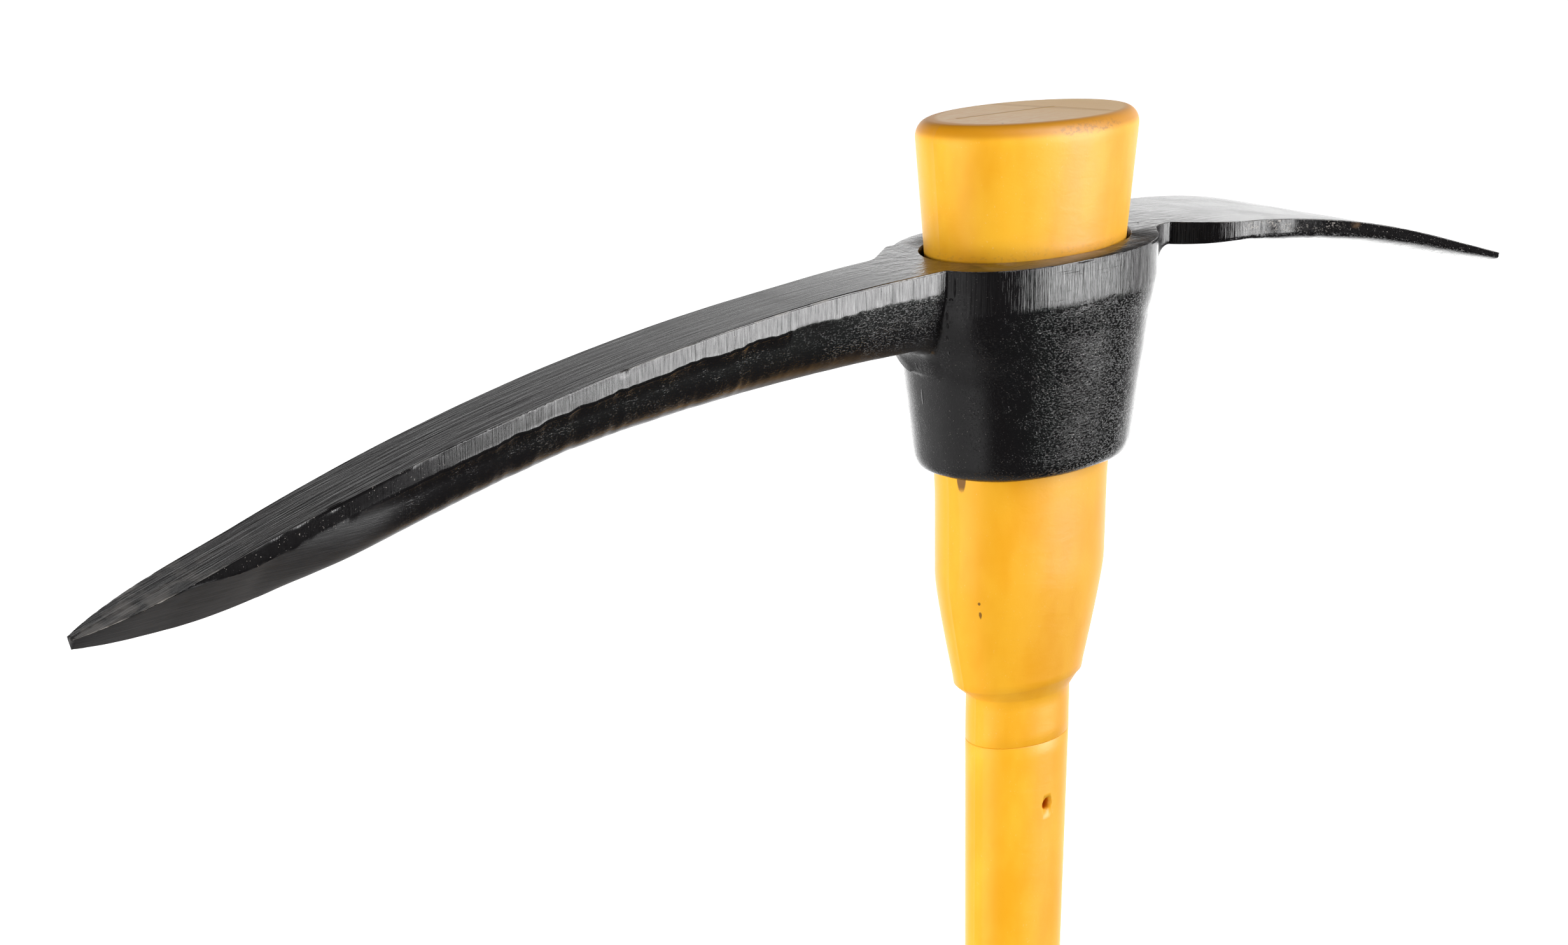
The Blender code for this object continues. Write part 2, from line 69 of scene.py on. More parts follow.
# %% Camera
HEAD_TOP_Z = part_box("forged_head")[1].z
CAMERA_AZIMUTH = math.radians(-44.021)
CAMERA_ELEVATION = math.radians(15.905)
CAMERA_ROLL = math.radians(-0.161)
CAMERA_PLACE = Vector((*mm(-678.3, -596.9), 184.4 * MM + HEAD_TOP_Z))
PHOTO_WIDTH = 2464
FOCAL_PIXELS = 4800


def way_to(azimuth, elevation=0.0):
    """The direction that an azimuth and an elevation name; azimuth 0 looks at the tool's near flank."""
    return Vector((math.sin(azimuth) * math.cos(elevation), -math.cos(azimuth) * math.cos(elevation),
                   math.sin(elevation)))


def camera_turn():
    """Columns are the camera's right, up and backward directions, rolled about the view."""
    back = way_to(CAMERA_AZIMUTH, CAMERA_ELEVATION)
    right = (-back).cross(Vector((0, 0, 1))).normalized()
    up = back.cross(right)
    rolled_right = right * math.cos(CAMERA_ROLL) + up * math.sin(CAMERA_ROLL)
    rolled_up = up * math.cos(CAMERA_ROLL) - right * math.sin(CAMERA_ROLL)
    return Matrix((rolled_right, rolled_up, back)).transposed()


scene = bpy.context.scene
lens = bpy.data.cameras.new("photo_lens")
lens.sensor_fit = "HORIZONTAL"
lens.sensor_width = 36.0
lens.lens = FOCAL_PIXELS * lens.sensor_width / PHOTO_WIDTH
camera = bpy.data.objects.new("photo_camera", lens)
camera.matrix_world = Matrix.Translation(CAMERA_PLACE) @ camera_turn().to_4x4()
scene.collection.objects.link(camera)
scene.camera = camera
print("lens", round(lens.lens, 2), "mm")

# %% [markdown]
# Every blade, bulb and tube here is skinned in the same way, as a smith or a mould maker would think of
# it: a chain of cross-sections. The first ring is a few vertices, each next one is extruded from it and
# moved to its own section, and the two ends are closed. A closed chain makes a tube's wall.

# %% Skin a chain of sections
def skin(sections, ring_shaped=False):
    shape = bmesh.new()
    first = [shape.verts.new(point) for point in sections[0]]
    loop = [shape.edges.new((first[i - 1], first[i])) for i in range(len(first))]
    ring = first
    for section in sections[1:]:
        grown = bmesh.ops.extrude_edge_only(shape, edges=loop)["geom"]
        fresh = {item for item in grown if isinstance(item, bmesh.types.BMVert)}
        loop = [item for item in grown
                if isinstance(item, bmesh.types.BMEdge) and set(item.verts) <= fresh]
        ring = [next(edge.other_vert(vert) for edge in vert.link_edges if edge.other_vert(vert) in fresh)
                for vert in ring]
        for vert, point in zip(ring, section):
            vert.co = point
    if ring_shaped:
        for i in range(len(ring)):
            shape.faces.new((first[i - 1], first[i], ring[i], ring[i - 1]))
    else:
        shape.faces.new(first)
        shape.faces.new(ring)
    bmesh.ops.recalc_face_normals(shape, faces=shape.faces[:])
    return shape


# %% Put a shape into the scene
def as_object(name, shape):
    mesh = bpy.data.meshes.new(name)
    shape.to_mesh(mesh)
    shape.free()
    item = bpy.data.objects.new(name, mesh)
    scene.collection.objects.link(item)
    return item


def finished_mesh(item):
    """The object's mesh with its modifiers applied, on the same object."""
    ready = item.evaluated_get(bpy.context.evaluated_depsgraph_get())
    mesh = bpy.data.meshes.new_from_object(ready)
    item.modifiers.clear()
    item.data = mesh
    return mesh


def carve(item, other, operation):
    """Join or cut with another closed shape, which is used up."""
    step = item.modifiers.new(other.name, "BOOLEAN")
    step.operation = operation
    step.object = other
    step.solver = "EXACT"
    finished_mesh(item)
    bpy.data.objects.remove(other, do_unlink=True)


# %% Gentle steps
def between(start, end, share):
    """The value this share of the way from start to end."""
    return start + (end - start) * share


def quarter_turn(steps, first=0):
    """The angles of even steps round a quarter circle."""
    return [math.pi / 2 * step / steps for step in range(first, steps + 1)]


def ease(value, start, end):
    """Share of the way from start to end, starting and stopping gently."""
    share = min(max((value - start) / (end - start), 0.0), 1.0)
    return share * share * (3 - 2 * share)


def turn_of_arc(past, radius):
    """How far a quarter circle of this radius has left its tangent, a distance past its start."""
    share = min(max(past / radius, 0.0), 1.0)
    return radius * (1 - math.sqrt(1 - share * share))


def arc_drop(x, level_end, radius, straight_start):
    """How far down a top face has gone at x that is first level, then curved and at last straight."""
    run = min(max(x - level_end, 0.0), straight_start - level_end)
    height = math.sqrt(radius * radius - run * run)
    return radius - height + max(x - straight_start, 0.0) * run / height


def boxy(turn, squareness):
    """Cosine and sine of a superellipse; 2 is an ellipse and more is boxier."""
    cosine, sine = math.cos(turn), math.sin(turn)
    power = 2 / squareness
    return math.copysign(abs(cosine) ** power, cosine), math.copysign(abs(sine) ** power, sine)


# %% [markdown]
# The head is one drop forging, so its shape follows from the two dies. The pick is drawn down from a
# deep root, the socket stands round the tapered eye, and the adze spreads from a narrow neck. The same
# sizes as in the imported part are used, but with sections so close that no facet can be seen.

# %% Sizes of the eye and the socket
BULB_ASPECT = 1.613
EYE_HALF_LENGTH = 37.5 * MM
EYE_TAPER = 0.066
EYE_END_CLEARANCE_TOP = 2.2 * MM
EYE_END_CLEARANCE_FOOT = 0.8 * MM
EYE_FLANK_CLEARANCE = 0.3 * MM
SOCKET_HEIGHT = 66.8 * MM
SOCKET_SQUARENESS = 2.3
TRIM_DEPTH = 14 * MM
FOOT_RADIUS = 5 * MM
FLANK_WALL_TOP = 8.3 * MM
FLANK_WALL_FOOT = 5.0 * MM
END_WALL_TOP = 7.4 * MM
END_WALL_FOOT = 3.1 * MM


def eye_half_length(depth):
    share = depth / SOCKET_HEIGHT
    return EYE_HALF_LENGTH - EYE_TAPER * depth + between(EYE_END_CLEARANCE_TOP, EYE_END_CLEARANCE_FOOT, share)


def eye_half_width(depth):
    return (EYE_HALF_LENGTH - EYE_TAPER * depth) / BULB_ASPECT + EYE_FLANK_CLEARANCE


def socket_half_length(depth):
    return eye_half_length(depth) + END_WALL_TOP + (END_WALL_FOOT - END_WALL_TOP) * depth / SOCKET_HEIGHT


def socket_half_width(depth):
    return eye_half_width(depth) + FLANK_WALL_TOP + (FLANK_WALL_FOOT - FLANK_WALL_TOP) * depth / SOCKET_HEIGHT


# %% Socket and eye
OVAL_POINTS = 144
SOCKET_POINTS = 216
SOCKET_RINGS = 62
EYE_RINGS = 16
EYE_MARGIN = 4 * MM
ARRIS = 0.3 * MM


def oval(half_length, half_width, z, squareness=2.0, count=OVAL_POINTS):
    points = []
    for step in range(count):
        along, across = boxy(2 * math.pi * step / count, squareness)
        points.append((half_length * along, half_width * across, z))
    return points


PICK_SHOULDER = 4 * MM
PICK_SHOULDER_SQUARENESS = 2.6
PICK_SHOULDER_FADES = mm(20, 38)
SHOULDER_SIDE_BLEND = mm(-8, 8)
UPRIGHT_MIDDLE = TRIM_DEPTH / 2
DRAFT_SETS_IN = (0.75 * TRIM_DEPTH, 1.7 * TRIM_DEPTH)


def socket_ring(depth, tuck=0.0, z=None):
    """The near side of the pick's end swells to a shoulder, which the pick's flank meets in a crease."""
    level = -depth if z is None else z
    drafted = UPRIGHT_MIDDLE + max(depth - UPRIGHT_MIDDLE, 0.0) * ease(depth, *DRAFT_SETS_IN)
    half_length, half_width = socket_half_length(drafted) - tuck, socket_half_width(drafted) - tuck
    shoulder = 1 - ease(-level, *PICK_SHOULDER_FADES)
    squareness = between(SOCKET_SQUARENESS, PICK_SHOULDER_SQUARENESS, shoulder)
    adze_end = oval(half_length, half_width, level, SOCKET_SQUARENESS, SOCKET_POINTS)
    pick_end = oval(half_length + PICK_SHOULDER * shoulder, half_width, level, squareness, SOCKET_POINTS)
    ring = []
    for plain, swollen in zip(adze_end, pick_end):
        share = ease(-plain[1], *SHOULDER_SIDE_BLEND) if plain[0] < 0 else 0.0
        ring.append(tuple(between(a, b, share) for a, b in zip(plain, swollen)))
    return ring


def socket_shape():
    """Upright where the flash was trimmed, then drafted, with a well rounded foot."""
    edge_start = SOCKET_HEIGHT - FOOT_RADIUS
    edge_tuck = min(FOOT_RADIUS, 0.8 * END_WALL_FOOT, 0.8 * FLANK_WALL_FOOT)
    rings = []
    for turn in quarter_turn(3):
        rings.append(socket_ring(UPRIGHT_MIDDLE, ARRIS * (1 - math.sin(turn)), -ARRIS * (1 - math.cos(turn))))
    rings += [socket_ring(ARRIS + (edge_start - ARRIS) * step / SOCKET_RINGS)
              for step in range(1, SOCKET_RINGS + 1)]
    for turn in quarter_turn(10, 1):
        rings.append(socket_ring(edge_start + FOOT_RADIUS * math.sin(turn), edge_tuck * (1 - math.cos(turn))))
    return skin(rings)


def eye_shape():
    """The drift that cuts the eye; it flares at the top face to break the sharp edge there."""
    span = SOCKET_HEIGHT + EYE_MARGIN - ARRIS
    depths = [SOCKET_HEIGHT + EYE_MARGIN - span * step / EYE_RINGS for step in range(EYE_RINGS + 1)]
    rings = [oval(eye_half_length(depth), eye_half_width(depth), -depth) for depth in depths]
    rings += [oval(eye_half_length(0) + ARRIS, eye_half_width(0) + ARRIS, z) for z in (0.0, EYE_MARGIN)]
    return skin(rings)


# %% Sizes of the pick
PICK_REACH = 331.6 * MM
PICK_LEVEL_LENGTH = 50.5 * MM
PICK_TOP_RADIUS = 853 * MM
PICK_ROOT_HALF_WIDTH = 13.8 * MM
PICK_HALF_WIDTH = 11.3 * MM
PICK_WAIST_START = 105 * MM
PICK_NARROWING_START = 180 * MM
PICK_ROOT_DEPTH = 25 * MM
PICK_MIDDLE_DEPTH = 18.5 * MM
PICK_MIDDLE_START = 185 * MM
PICK_MIDDLE_END = 254 * MM
POINT_START = PICK_REACH - 50 * MM
POINT_BASE_HALF_WIDTH = 8 * MM
TIP_HALF_WIDTH = 1.6 * MM
TIP_DEPTH = 3 * MM
PICK_TRIM_SHARE = 0.30
POINT_TRIM_SHARE = 0.04
POINT_TRIM_NARROWS = mm(283, 309)
PICK_SQUARENESS = 3.3
POINT_SQUARENESS = 1.04
GRINDING = mm(232, 285)
PICK_NEAR_SIDE_SHARE = 0.9
PICK_CHEEK = {"start": 56 * MM, "slope": math.radians(33), "limit": 24.5 * MM}
LEDGE_AT_ROOT = 0.05 * MM
LEDGE = 0.4 * MM
LEAST_LEDGE = 0.05 * MM
LEDGE_GROWS = mm(90, 200)
LEDGE_ENDS = mm(238, 262)
PICK_ARRIS_AT_ROOT = 0.9 * MM
PICK_ARRIS = 0.35 * MM
POINT_ARRIS = 0.04 * MM
PICK_ARRIS_SHARPENS = mm(80, 170)
POINT_ARRIS_SHARPENS = mm(200, 250)
FLANK_DRAFT = math.radians(9)
FLANK_DRAFT_ENDS = mm(215, 260)
POINT_DRAFT = math.radians(2)
POINT_DRAFT_GROWS = mm(225, 260)
TEARING_ENDS = mm(205, 262)
NEAR_SIDE_FILLS = mm(60, 110)
PICK_WEB = {"depth": PICK_ROOT_DEPTH, "reach": 10 * MM, "height": 10 * MM}
CHEEK_FILLET = 12 * MM


def pick_top(x):
    return -arc_drop(x, PICK_LEVEL_LENGTH, PICK_TOP_RADIUS, POINT_START)


def pick_half_width(x):
    if x > POINT_START:
        share = (x - POINT_START) / (PICK_REACH - POINT_START)
        return between(POINT_BASE_HALF_WIDTH, TIP_HALF_WIDTH, share ** 3.5)
    if x > PICK_NARROWING_START:
        share = (x - PICK_NARROWING_START) / (POINT_START - PICK_NARROWING_START)
        return between(PICK_HALF_WIDTH, POINT_BASE_HALF_WIDTH, share ** 1.5)
    return between(PICK_HALF_WIDTH, PICK_ROOT_HALF_WIDTH, 1 - ease(x, PICK_LEVEL_LENGTH, PICK_WAIST_START))


def pick_depth(x):
    if x > PICK_MIDDLE_END:
        share = (x - PICK_MIDDLE_END) / (PICK_REACH - PICK_MIDDLE_END)
        return between(PICK_MIDDLE_DEPTH, TIP_DEPTH, share ** 2)
    share = min(max((x - PICK_LEVEL_LENGTH) / (PICK_MIDDLE_START - PICK_LEVEL_LENGTH), 0.0), 1.0)
    return between(PICK_ROOT_DEPTH, PICK_MIDDLE_DEPTH, share ** 1.3)


def pick_side(x):
    return between(PICK_TRIM_SHARE, POINT_TRIM_SHARE, ease(x, *POINT_TRIM_NARROWS)) * pick_depth(x)


def pick_ledge(x):
    """How far the rough flank stands back below the trimmed edge."""
    grown = between(LEDGE_AT_ROOT, LEDGE, ease(x, *LEDGE_GROWS))
    return between(LEAST_LEDGE, grown, 1 - ease(x, *LEDGE_ENDS))


def pick_arris(x):
    """The top edge is rounded near the root and sharp along the ground point."""
    edge = between(PICK_ARRIS_AT_ROOT, PICK_ARRIS, ease(x, *PICK_ARRIS_SHARPENS))
    return between(edge, POINT_ARRIS, ease(x, *POINT_ARRIS_SHARPENS))


def pick_squareness(x):
    return between(PICK_SQUARENESS, POINT_SQUARENESS, ease(x, *GRINDING))


# %% Sizes of the adze
ADZE_REACH = 201.5 * MM
ADZE_LEVEL_LENGTH = 48 * MM
ADZE_TOP_RADIUS = 405 * MM
ADZE_BIT_START = 164 * MM
NECK_HALF_WIDTH = 12 * MM
NECK_END = 53.5 * MM
SHOULDER_END = 78 * MM
SHOULDER_HALF_WIDTH = 25.5 * MM
EDGE_HALF_WIDTH = 38.2 * MM
EDGE_CORNER_RADIUS = 1.5 * MM
EDGE_BOW = 3 * MM
NECK_SIDE = 6.8 * MM
BLADE_SIDE = 5.5 * MM
EDGE_THICKNESS = 1.6 * MM
NECK_CROWN = 0.8 * MM
BLADE_CROWN = 4.3 * MM
BLADE_CROWN_START = 100 * MM
BLADE_CROWN_END = 160 * MM
EDGE_CROWN = 3.4 * MM
BEVEL_START = ADZE_REACH - 12 * MM
NECK_SQUARENESS = 3.4
BLADE_SQUARENESS = 2.0
ADZE_DRAFT = math.radians(9)
ADZE_DRAFT_GROWS = mm(78, 120)
UNEVEN_DRAFT = math.radians(4)
UNEVEN_STARTS = mm(78, 86)
UNEVEN_ENDS = mm(106, 120)
UNEVEN_LUMPS = 4 * MM
ADZE_CHEEK = {"start": 51 * MM, "slope": math.radians(50), "limit": 17 * MM}
ADZE_WEB = {"depth": NECK_SIDE, "reach": 7 * MM, "height": 23 * MM}


def adze_top(x):
    return -arc_drop(x, ADZE_LEVEL_LENGTH, ADZE_TOP_RADIUS, ADZE_BIT_START)


def adze_half_width(x):
    if x <= SHOULDER_END:
        share = max(x - NECK_END, 0.0) / (SHOULDER_END - NECK_END)
        return between(NECK_HALF_WIDTH, SHOULDER_HALF_WIDTH, 1 - (1 - share) ** 2.2)
    share = (x - SHOULDER_END) / (ADZE_REACH - SHOULDER_END)
    width = between(SHOULDER_HALF_WIDTH, EDGE_HALF_WIDTH, share)
    return width - turn_of_arc(x - ADZE_REACH + EDGE_CORNER_RADIUS, EDGE_CORNER_RADIUS)


def along_adze(x):
    return max(x - NECK_END, 0.0) / (ADZE_REACH - NECK_END)


def adze_side(x):
    blade = between(BLADE_SIDE, NECK_SIDE, 1 - ease(x, NECK_END, SHOULDER_END))
    return blade + (EDGE_THICKNESS - BLADE_SIDE) * along_adze(x) ** 1.9


def adze_crown(x):
    blade = between(NECK_CROWN, BLADE_CROWN, ease(x, NECK_END, BLADE_CROWN_START))
    return between(blade, EDGE_CROWN, ease(x, BLADE_CROWN_END, ADZE_REACH))


# %% Where a blade runs into the socket
def cheek_half_width(x, half_width, start, slope, limit):
    """Half width of a blade whose flank bends out at start and runs on to the socket as a cheek."""
    past = max(start - x, 0.0)
    bend = CHEEK_FILLET * math.sin(slope)
    growth = turn_of_arc(min(past, bend), CHEEK_FILLET) + max(past - bend, 0.0) * math.tan(slope)
    return min(half_width + growth, max(limit, half_width))


def web_growth(x, depth, reach, height):
    """How much deeper the belly is at x, where it runs into the socket's end."""
    start = socket_half_length(depth) + reach
    return height * turn_of_arc((start - x) / reach, 1.0)


# %% Blade sections
TOP_STEPS = 12
ARRIS_STEPS = 5
BESIDE_ARRIS = 0.15 * MM
SIDE_STEPS = 6
BELLY_STEPS = 18
BLADE_ROOT = EYE_HALF_LENGTH * 0.85
LEDGE_SLOPE = 1.2


def ragged(x, y, z, size):
    """Noise from -1 to 1 with lumps of about this size."""
    return noise.noise(Vector((x, y, z)) / size)


def torn(x, side_of_blade):
    """Where the sheared face breaks off above or below its even lower edge."""
    seed = side_of_blade * 100 * MM
    return 0.7 * MM * ragged(x, seed, 0.0, 7 * MM) + 0.45 * MM * ragged(x, seed, 0.0, 2.6 * MM)


def half_section(half_width, side, ledge, belly, squareness, bevel=0.0, draft=0.0, arris=ARRIS,
                 flank_draft=0.0):
    """Distances out from the middle and down from the top: over the arris, down the side, round the belly."""
    arris = min(arris, 0.8 * side)
    points = []
    for step in range(TOP_STEPS):
        share = (1 - (arris + BESIDE_ARRIS) / half_width) * step / (TOP_STEPS - 1)
        points.append((half_width * share, bevel * (1 - share ** squareness) ** (1 / squareness)))
    for turn in quarter_turn(ARRIS_STEPS):
        points.append((half_width - arris * (1 - math.sin(turn)), arris * (1 - math.cos(turn))))
    beside = min(BESIDE_ARRIS, 0.1 * (side - arris))
    for step in range(SIDE_STEPS + 1):
        down = beside + (side - arris - beside) * step / SIDE_STEPS
        points.append((half_width - draft * down, arris + down))
    inner, foot = half_width - draft * (side - arris) - ledge, side + LEDGE_SLOPE * ledge
    deep = side + belly - foot
    drawn_in = min(deep * math.tan(flank_draft) / inner, 0.5)
    for turn in quarter_turn(BELLY_STEPS):
        across, swell = boxy(turn, squareness)
        points.append((inner * across * (1 - drawn_in * swell), foot + deep * swell))
    return points


def blade_section(side_of_eye, x, top_at, half_widths, sides, depth, squareness, ledge=LEAST_LEDGE, bow=0.0,
                  **edges):
    """A level top, upright trimmed sides and a rounded belly, across a blade at x."""
    loop = []
    for side_of_blade, half_width, side in zip((1, -1), half_widths, sides):
        half = half_section(half_width, side, ledge, depth - side, squareness, **edges)
        points = [(x - bow * (out / half_width) ** 2, side_of_blade * out, down) for out, down in half]
        loop += points if side_of_blade > 0 else points[-2:0:-1]
    return [(side_of_eye * station, across, top_at(station) - down) for station, across, down in loop]


def pick_section(x):
    draft = POINT_DRAFT * ease(x, *POINT_DRAFT_GROWS)
    tear = 1 - ease(x, *TEARING_ENDS)
    sides = [pick_side(x) + tear * torn(-x, side_of_blade) for side_of_blade in (1, -1)]
    depth = pick_depth(x) + web_growth(x, **PICK_WEB)
    far_half_width = cheek_half_width(x, pick_half_width(x), **PICK_CHEEK)
    near_share = 1 - (1 - PICK_NEAR_SIDE_SHARE) * (1 - ease(x, *NEAR_SIDE_FILLS))
    half_widths = (far_half_width, near_share * pick_half_width(x))
    flank_draft = FLANK_DRAFT * (1 - ease(x, *FLANK_DRAFT_ENDS))
    return blade_section(-1, x, pick_top, half_widths, sides, depth, pick_squareness(x), pick_ledge(x),
                         draft=draft, arris=pick_arris(x), flank_draft=flank_draft)


def adze_section(x):
    half_width = cheek_half_width(x, adze_half_width(x), **ADZE_CHEEK)
    side = adze_side(x)
    depth = side + adze_crown(x) + web_growth(x, **ADZE_WEB)
    squareness = between(NECK_SQUARENESS, BLADE_SQUARENESS, ease(x, NECK_END, SHOULDER_END))
    bevel = EDGE_CROWN * max(x - BEVEL_START, 0.0) / (ADZE_REACH - BEVEL_START)
    uneven = ragged(x, 30 * MM, 0.0, UNEVEN_LUMPS) * ease(x, *UNEVEN_STARTS) * (1 - ease(x, *UNEVEN_ENDS))
    draft = ADZE_DRAFT * ease(x, *ADZE_DRAFT_GROWS) + UNEVEN_DRAFT * uneven
    return blade_section(1, x, adze_top, (half_width, half_width), (side, side), depth, squareness,
                         bow=EDGE_BOW * along_adze(x) ** 2, bevel=bevel, draft=draft)


# %% Skin the two blades
def stations(start, end, longest_step):
    count = math.ceil((end - start) / longest_step)
    return [start + (end - start) * step / count for step in range(count)]


def pick_shape():
    places = stations(BLADE_ROOT, PICK_REACH, 0.8 * MM) + [PICK_REACH]
    return skin([pick_section(x) for x in places])


def adze_shape():
    corner_start = ADZE_REACH - EDGE_CORNER_RADIUS
    places = stations(BLADE_ROOT, SHOULDER_END, 0.8 * MM)
    places += stations(SHOULDER_END, corner_start, 1.2 * MM)
    places += stations(corner_start, ADZE_REACH, 0.3 * MM) + [ADZE_REACH]
    return skin([adze_section(x) for x in places])


socket, pick, adze = socket_shape(), pick_shape(), adze_shape()
parts_of_head = [BVHTree.FromBMesh(shape) for shape in (socket, pick, adze)]
head = as_object("head_forging", socket)
carve(head, as_object("pick_blank", pick), "UNION")
carve(head, as_object("adze_blank", adze), "UNION")
carve(head, as_object("eye_drift", eye_shape()), "DIFFERENCE")
print("head", len(head.data.polygons), "faces")

# %% [markdown]
# Joined solids meet in hard inner corners, and no die leaves one. Only the vertices that lie close to both
# shapes are smoothed, many times over, so that a fillet grows there and nowhere else.

# %% Fillets between the blades and the socket
FILLET_REACH = 1.6 * MM
SLIVER = 0.12 * MM


def relax(shape, verts, rounds):
    for _ in range(rounds):
        bmesh.ops.smooth_vert(shape, verts=verts, factor=0.5, use_axis_x=True, use_axis_y=True,
                              use_axis_z=True)


def near_a_joint(place):
    gaps = [tree.find_nearest(place)[3] for tree in parts_of_head]
    return max(gaps[0], min(gaps[1], gaps[2])) < FILLET_REACH


skin_of_head = bmesh.new()
skin_of_head.from_mesh(head.data)
bmesh.ops.remove_doubles(skin_of_head, verts=skin_of_head.verts[:], dist=SLIVER)
joint_verts = [vert for vert in skin_of_head.verts if vert.co.z < -1.2 * MM and near_a_joint(vert.co)]
joint_faces = [face for face in skin_of_head.faces if any(len(edge.link_faces) != 2 for edge in face.edges)]
relax(skin_of_head, joint_verts, 5)
bmesh.ops.triangulate(skin_of_head, faces=[face for face in skin_of_head.faces if len(face.verts) > 4])
print("fillet", len(joint_verts), "vertices, open", len(joint_faces), "faces")

# %% [markdown]
# The forging shows three kinds of skin. The top and bottom faces keep the die's smooth face. The upper
# part of each side was sheared when the flash was trimmed off, so it is upright, striped and sharp. Below
# it the drafted side still has the rough, pitted skin of the hot steel. Each vertex learns where it lies,
# and the finish reads that later.

# %% Where on the forging a vertex lies
def top_at(x):
    return pick_top(-x) if x < 0 else adze_top(x)


def trim_height(x, side_of_blade):
    if x < -socket_half_length(TRIM_DEPTH):
        return pick_side(-x) + torn(x, side_of_blade)
    if x > NECK_END:
        return adze_side(min(x, ADZE_REACH))
    return TRIM_DEPTH + 2 * torn(x, side_of_blade)


def below_top(place):
    return top_at(place.x) - place.z


def zones_of(vert):
    """How much a vertex is top face, trimmed side or rough skin."""
    below = below_top(vert.co)
    edge = trim_height(vert.co.x, math.copysign(1, vert.co.y))
    upright = 1 - ease(abs(vert.normal.z), 0.25, 0.6)
    trimmed = upright * (1 - ease(below, edge - 0.3 * MM, edge + 0.5 * MM))
    top = ease(vert.normal.z, 0.55, 0.85)
    return top, trimmed, max(0.0, 1 - top - trimmed)


# %% Give the skin its dents, and mark its zones
GRINDING_TOP = 236 * MM
LAYERS = ("top_face", "trimmed", "ground", "worn_edge")
GRINDING_FADE = 22 * MM
NICKS = [mm(-101.5, 1.2, 0.7), mm(-170, 1.5, 0.9), mm(-262, 3.0, 0.5)]
NICKED_FROM = -50 * MM

skin_of_head.normal_update()
layers = {name: skin_of_head.verts.layers.float.new(name) for name in LAYERS}
flow_layer = skin_of_head.verts.layers.float_vector.new("flow")
moves = []
for vert in skin_of_head.verts:
    x, y, z = vert.co
    top, trimmed, rough = zones_of(vert)
    below = below_top(vert.co)
    vert[layers["top_face"]] = top
    vert[layers["trimmed"]] = trimmed
    vert[layers["ground"]] = (1 - top - trimmed) * ease(-x, GRINDING_TOP, GRINDING_TOP + GRINDING_FADE)
    on_arris = ease(vert.normal.z, 0.2, 0.45) * (1 - ease(vert.normal.z, 0.9, 0.98))
    vert[layers["worn_edge"]] = on_arris * (1 - ease(below, 0.8 * MM, 1.6 * MM))
    vert[flow_layer] = (x, y, -below)
    move = rough * (0.12 * MM * ragged(x, y, z, 16 * MM) + 0.05 * MM * ragged(x, y, z, 5 * MM))
    move += top * 0.04 * MM * ragged(x, y, z, 12 * MM) - 0.1 * MM
    if y < 0 and x < NICKED_FROM:
        from_edge = max(pick_half_width(-x) - abs(y), 0.0)
        for place, half_length, deep in NICKS:
            reach = math.hypot((x - place) / half_length, below / (1.5 * deep), from_edge / (1.5 * deep))
            move -= deep * 0.5 * (1 - ease(reach, 0.0, 1.0)) * (1 - 0.7 * top)
    moves.append(move)
for vert, move in zip(skin_of_head.verts, moves):
    vert.co += vert.normal * move

# %% [markdown]
# Blender's materials are graphs of nodes. To keep them readable, one small class stands for a node's
# output socket, and Python's own signs add the Math nodes: `1 - mask` makes a node that subtracts.

# %% Shader sums as Python expressions
class Tone:
    """A value, colour or vector that changes over a surface."""

    def __init__(self, finish, socket):
        self.finish = finish
        self.socket = socket

    def sum(self, operation, first, second=0.0):
        return self.finish.node("ShaderNodeMath", {"operation": operation}, {0: first, 1: second})

    def __add__(self, other):
        return self.sum("ADD", self, other)

    __radd__ = __add__

    def __sub__(self, other):
        return self.sum("SUBTRACT", self, other)

    def __rsub__(self, other):
        return self.sum("SUBTRACT", other, self)

    def __mul__(self, other):
        return self.sum("MULTIPLY", self, other)

    __rmul__ = __mul__

    def __truediv__(self, other):
        return self.sum("DIVIDE", self, other)

    def __pow__(self, other):
        return self.sum("POWER", self, other)

    def __abs__(self):
        return self.sum("ABSOLUTE", self)

    def at_most(self, other):
        return self.sum("MINIMUM", self, other)

    def at_least(self, other):
        return self.sum("MAXIMUM", self, other)

    def rise(self, start, end):
        """0 below start and 1 above end, gentle in between; start above end makes it fall."""
        low, high = min(start, end), max(start, end)
        share = self.finish.node("ShaderNodeMapRange", {"interpolation_type": "SMOOTHSTEP"},
                                 {"Value": self, "From Min": low, "From Max": high})
        return share if start <= end else 1 - share

    def rise_mm(self, start, end):
        """The same for a place, with its two ends in millimetres."""
        return self.rise(start * MM, end * MM)


